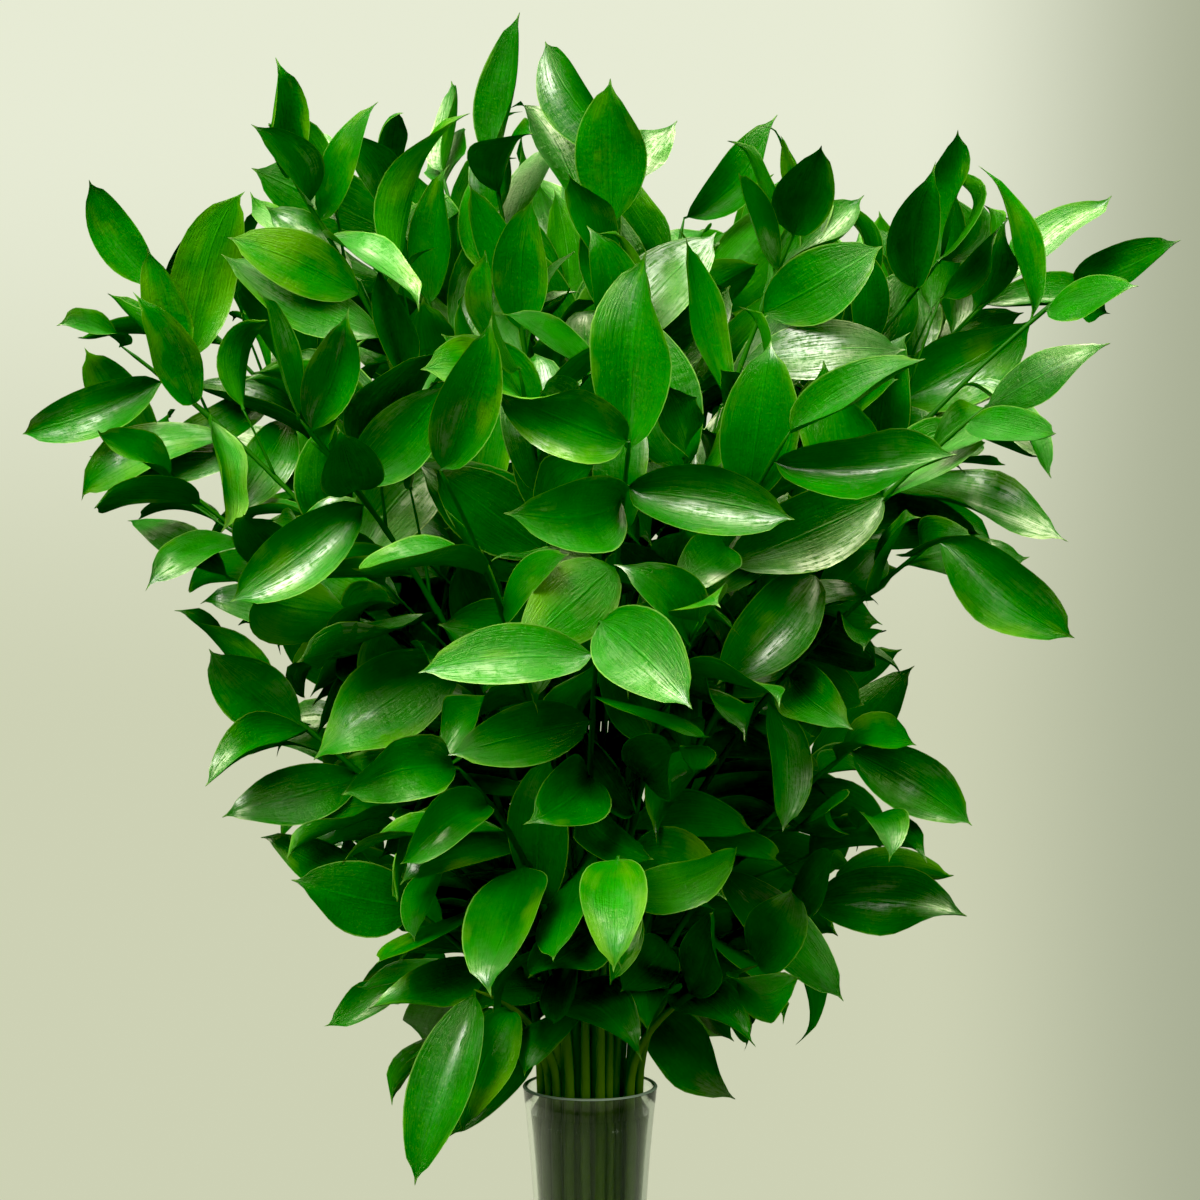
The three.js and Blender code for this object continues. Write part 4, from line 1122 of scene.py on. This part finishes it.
def make_vase(glass, rim):
    """A footed cup: flat underside, rounded edge, sloped foot, tapered wall, round lip and flat floor."""
    heights = np.linspace(CUP_FLOOR, VASE_HEIGHT - LIP_RADIUS, 26)
    foot = [(0, 0), (0.0445, 0), (0.0458, 0.0006), (0.0460, 0.0018), (0.0456, 0.0034), (0.0442, 0.0046),
            (0.0400, 0.0058), (0.0340, 0.0074), (0.0285, 0.0098), (0.0232, 0.0132), (0.0204, 0.0165),
            (0.0198, 0.0195), (0.0208, 0.0225), (0.0238, 0.0262), (0.0262, 0.0285)]
    outside = [(cup_radius(height), height) for height in heights]
    lip = [(RIM_RADIUS - LIP_RADIUS + LIP_RADIUS * math.cos(angle),
            VASE_HEIGHT - LIP_RADIUS + LIP_RADIUS * math.sin(angle))
           for angle in np.linspace(0.3, math.pi - 0.3, 7)]
    inside = [(cup_radius(height) - GLASS_WALL, height) for height in heights[::-1][:-1]]
    floor = [(cup_radius(CUP_FLOOR) - GLASS_WALL - 0.001, CUP_FLOOR + 0.0012),
             (cup_radius(CUP_FLOOR) - GLASS_WALL - 0.004, CUP_FLOOR), (0, CUP_FLOOR)]
    vase = lathe("glass_vase", foot + outside + lip + inside + floor, [glass, rim])
    # The faces at the lip take the rim's painted highlight.
    for polygon in vase.data.polygons:
        polygon.material_index = int(polygon.center.z > VASE_HEIGHT - RIM_BELOW)
    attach(vase, "root")
    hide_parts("vase")


def make_water(water):
    """The water fills the cup to below the rim, with its edge drawn up a little at the glass."""
    top, bottom = VASE_HEIGHT - WATER_BELOW_RIM, CUP_FLOOR + WATER_GAP
    heights = np.linspace(CUP_FLOOR + 0.0014, top + WATER_EDGE, 22)
    rings = [(0, bottom), (cup_radius(CUP_FLOOR) - GLASS_WALL - 0.004, bottom)]
    rings += [(cup_radius(height) - GLASS_WALL - WATER_GAP, height) for height in heights]
    edge = cup_radius(top) - GLASS_WALL
    rings += [(edge - 0.0008, top + 0.0002), (edge - 0.0022, top), (edge - 0.006, top), (0, top)]
    body = lathe("vase_water", rings, [water])
    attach(body, "root")
    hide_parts("water")


# ---- The whole bunch ----

def leaf_materials():
    """A leaf's face, deep green and waxy, and its underside, paler and less glossy."""
    pattern = leaf_pattern()
    face = leaf_material(
        "leaf face", pattern,
        {"Deep": (0.0003, 0.078, 0.0003, 1), "Bright": (0.008, 0.275, 0.001, 1),
         "Yellow": (0.115, 0.330, 0.005, 1), "Edge": LEAF_EDGE},
        {"Vein Contrast": 0.4, "Yellowing": 0.85, "Edge Strength": 0.5},
        {"roughness": 0.26, "relief": 1.0, "specular": 0.40, "tint": (1.0, 1.0, 0.62, 1), "coat": 1.0})
    underside = leaf_material(
        "leaf underside", pattern,
        {"Deep": (0.002, 0.075, 0.001, 1), "Bright": (0.024, 0.280, 0.003, 1),
         "Yellow": (0.12, 0.38, 0.01, 1), "Edge": LEAF_EDGE},
        {"Vein Contrast": 0.9, "Yellowing": 0.8, "Edge Strength": 0.45},
        {"roughness": 0.28, "relief": 0.8, "specular": 0.3, "tint": (0.96, 1.0, 0.62, 1), "coat": 0.2})
    return [face, underside]


def read_stems():
    """Every leafy stem, with its line, its finished leaves and the length of its bare part."""
    stems = []
    for name in sorted(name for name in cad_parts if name.startswith("leafy_stem_")):
        stem = read_stem(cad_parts[name])
        stem["number"] = len(stems)
        stem["line"], stem["start"] = stem_line(stem)
        stem["growth"] = unit(np.gradient(stem["line"], axis=0))
        above = np.linalg.norm(np.diff(stem["line"][stem["start"]:], axis=0), axis=1).sum()
        stem["bare"] = np.linalg.norm(stem["neck"] - stem["foot"]) + min(BARE_STEM, 0.25 * above)
        stem["more"] = []
        for place, leaf in enumerate(stem["leaves"]):
            finish_leaf(leaf, stem["line"][stem["start"]:], (stem["number"] + 1) * 100 + place)
        stems.append(stem)
    print("stems", len(stems), "leaves", sum(len(stem["leaves"]) for stem in stems))
    return stems


def make_stem(stem, materials):
    """A stem, its twigs and all its leaves as one piece, in the place of its solid."""
    assembly = Assembly()
    add_stem(assembly, stem)
    for leaf in stem["leaves"] + stem["more"]:
        add_leaf(assembly, leaf)
    piece = assembly.make(f"ruscus_stem_{stem['number'] + 1:02d}", materials)
    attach(piece, "root")
    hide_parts(stem["name"])


place_camera()
light_studio()
lay_floor(floor_material())

foliage = [*leaf_materials(), stem_material()]
stems = read_stems()
room = Room(stems)
grow_twigs(stems, room)
grow_more_leaves(stems, room)
for stem in stems:
    make_stem(stem, foliage)

glass = clear_material("clear glass", (0.93, 0.97, 0.92, 1), 1.48, (0.90, 0.94, 0.88, 1))
make_vase(glass, rim_highlight_material())
make_water(clear_material("vase water", (0.90, 0.95, 0.86, 1), WATER_IOR, (0.92, 0.95, 0.88, 1)))
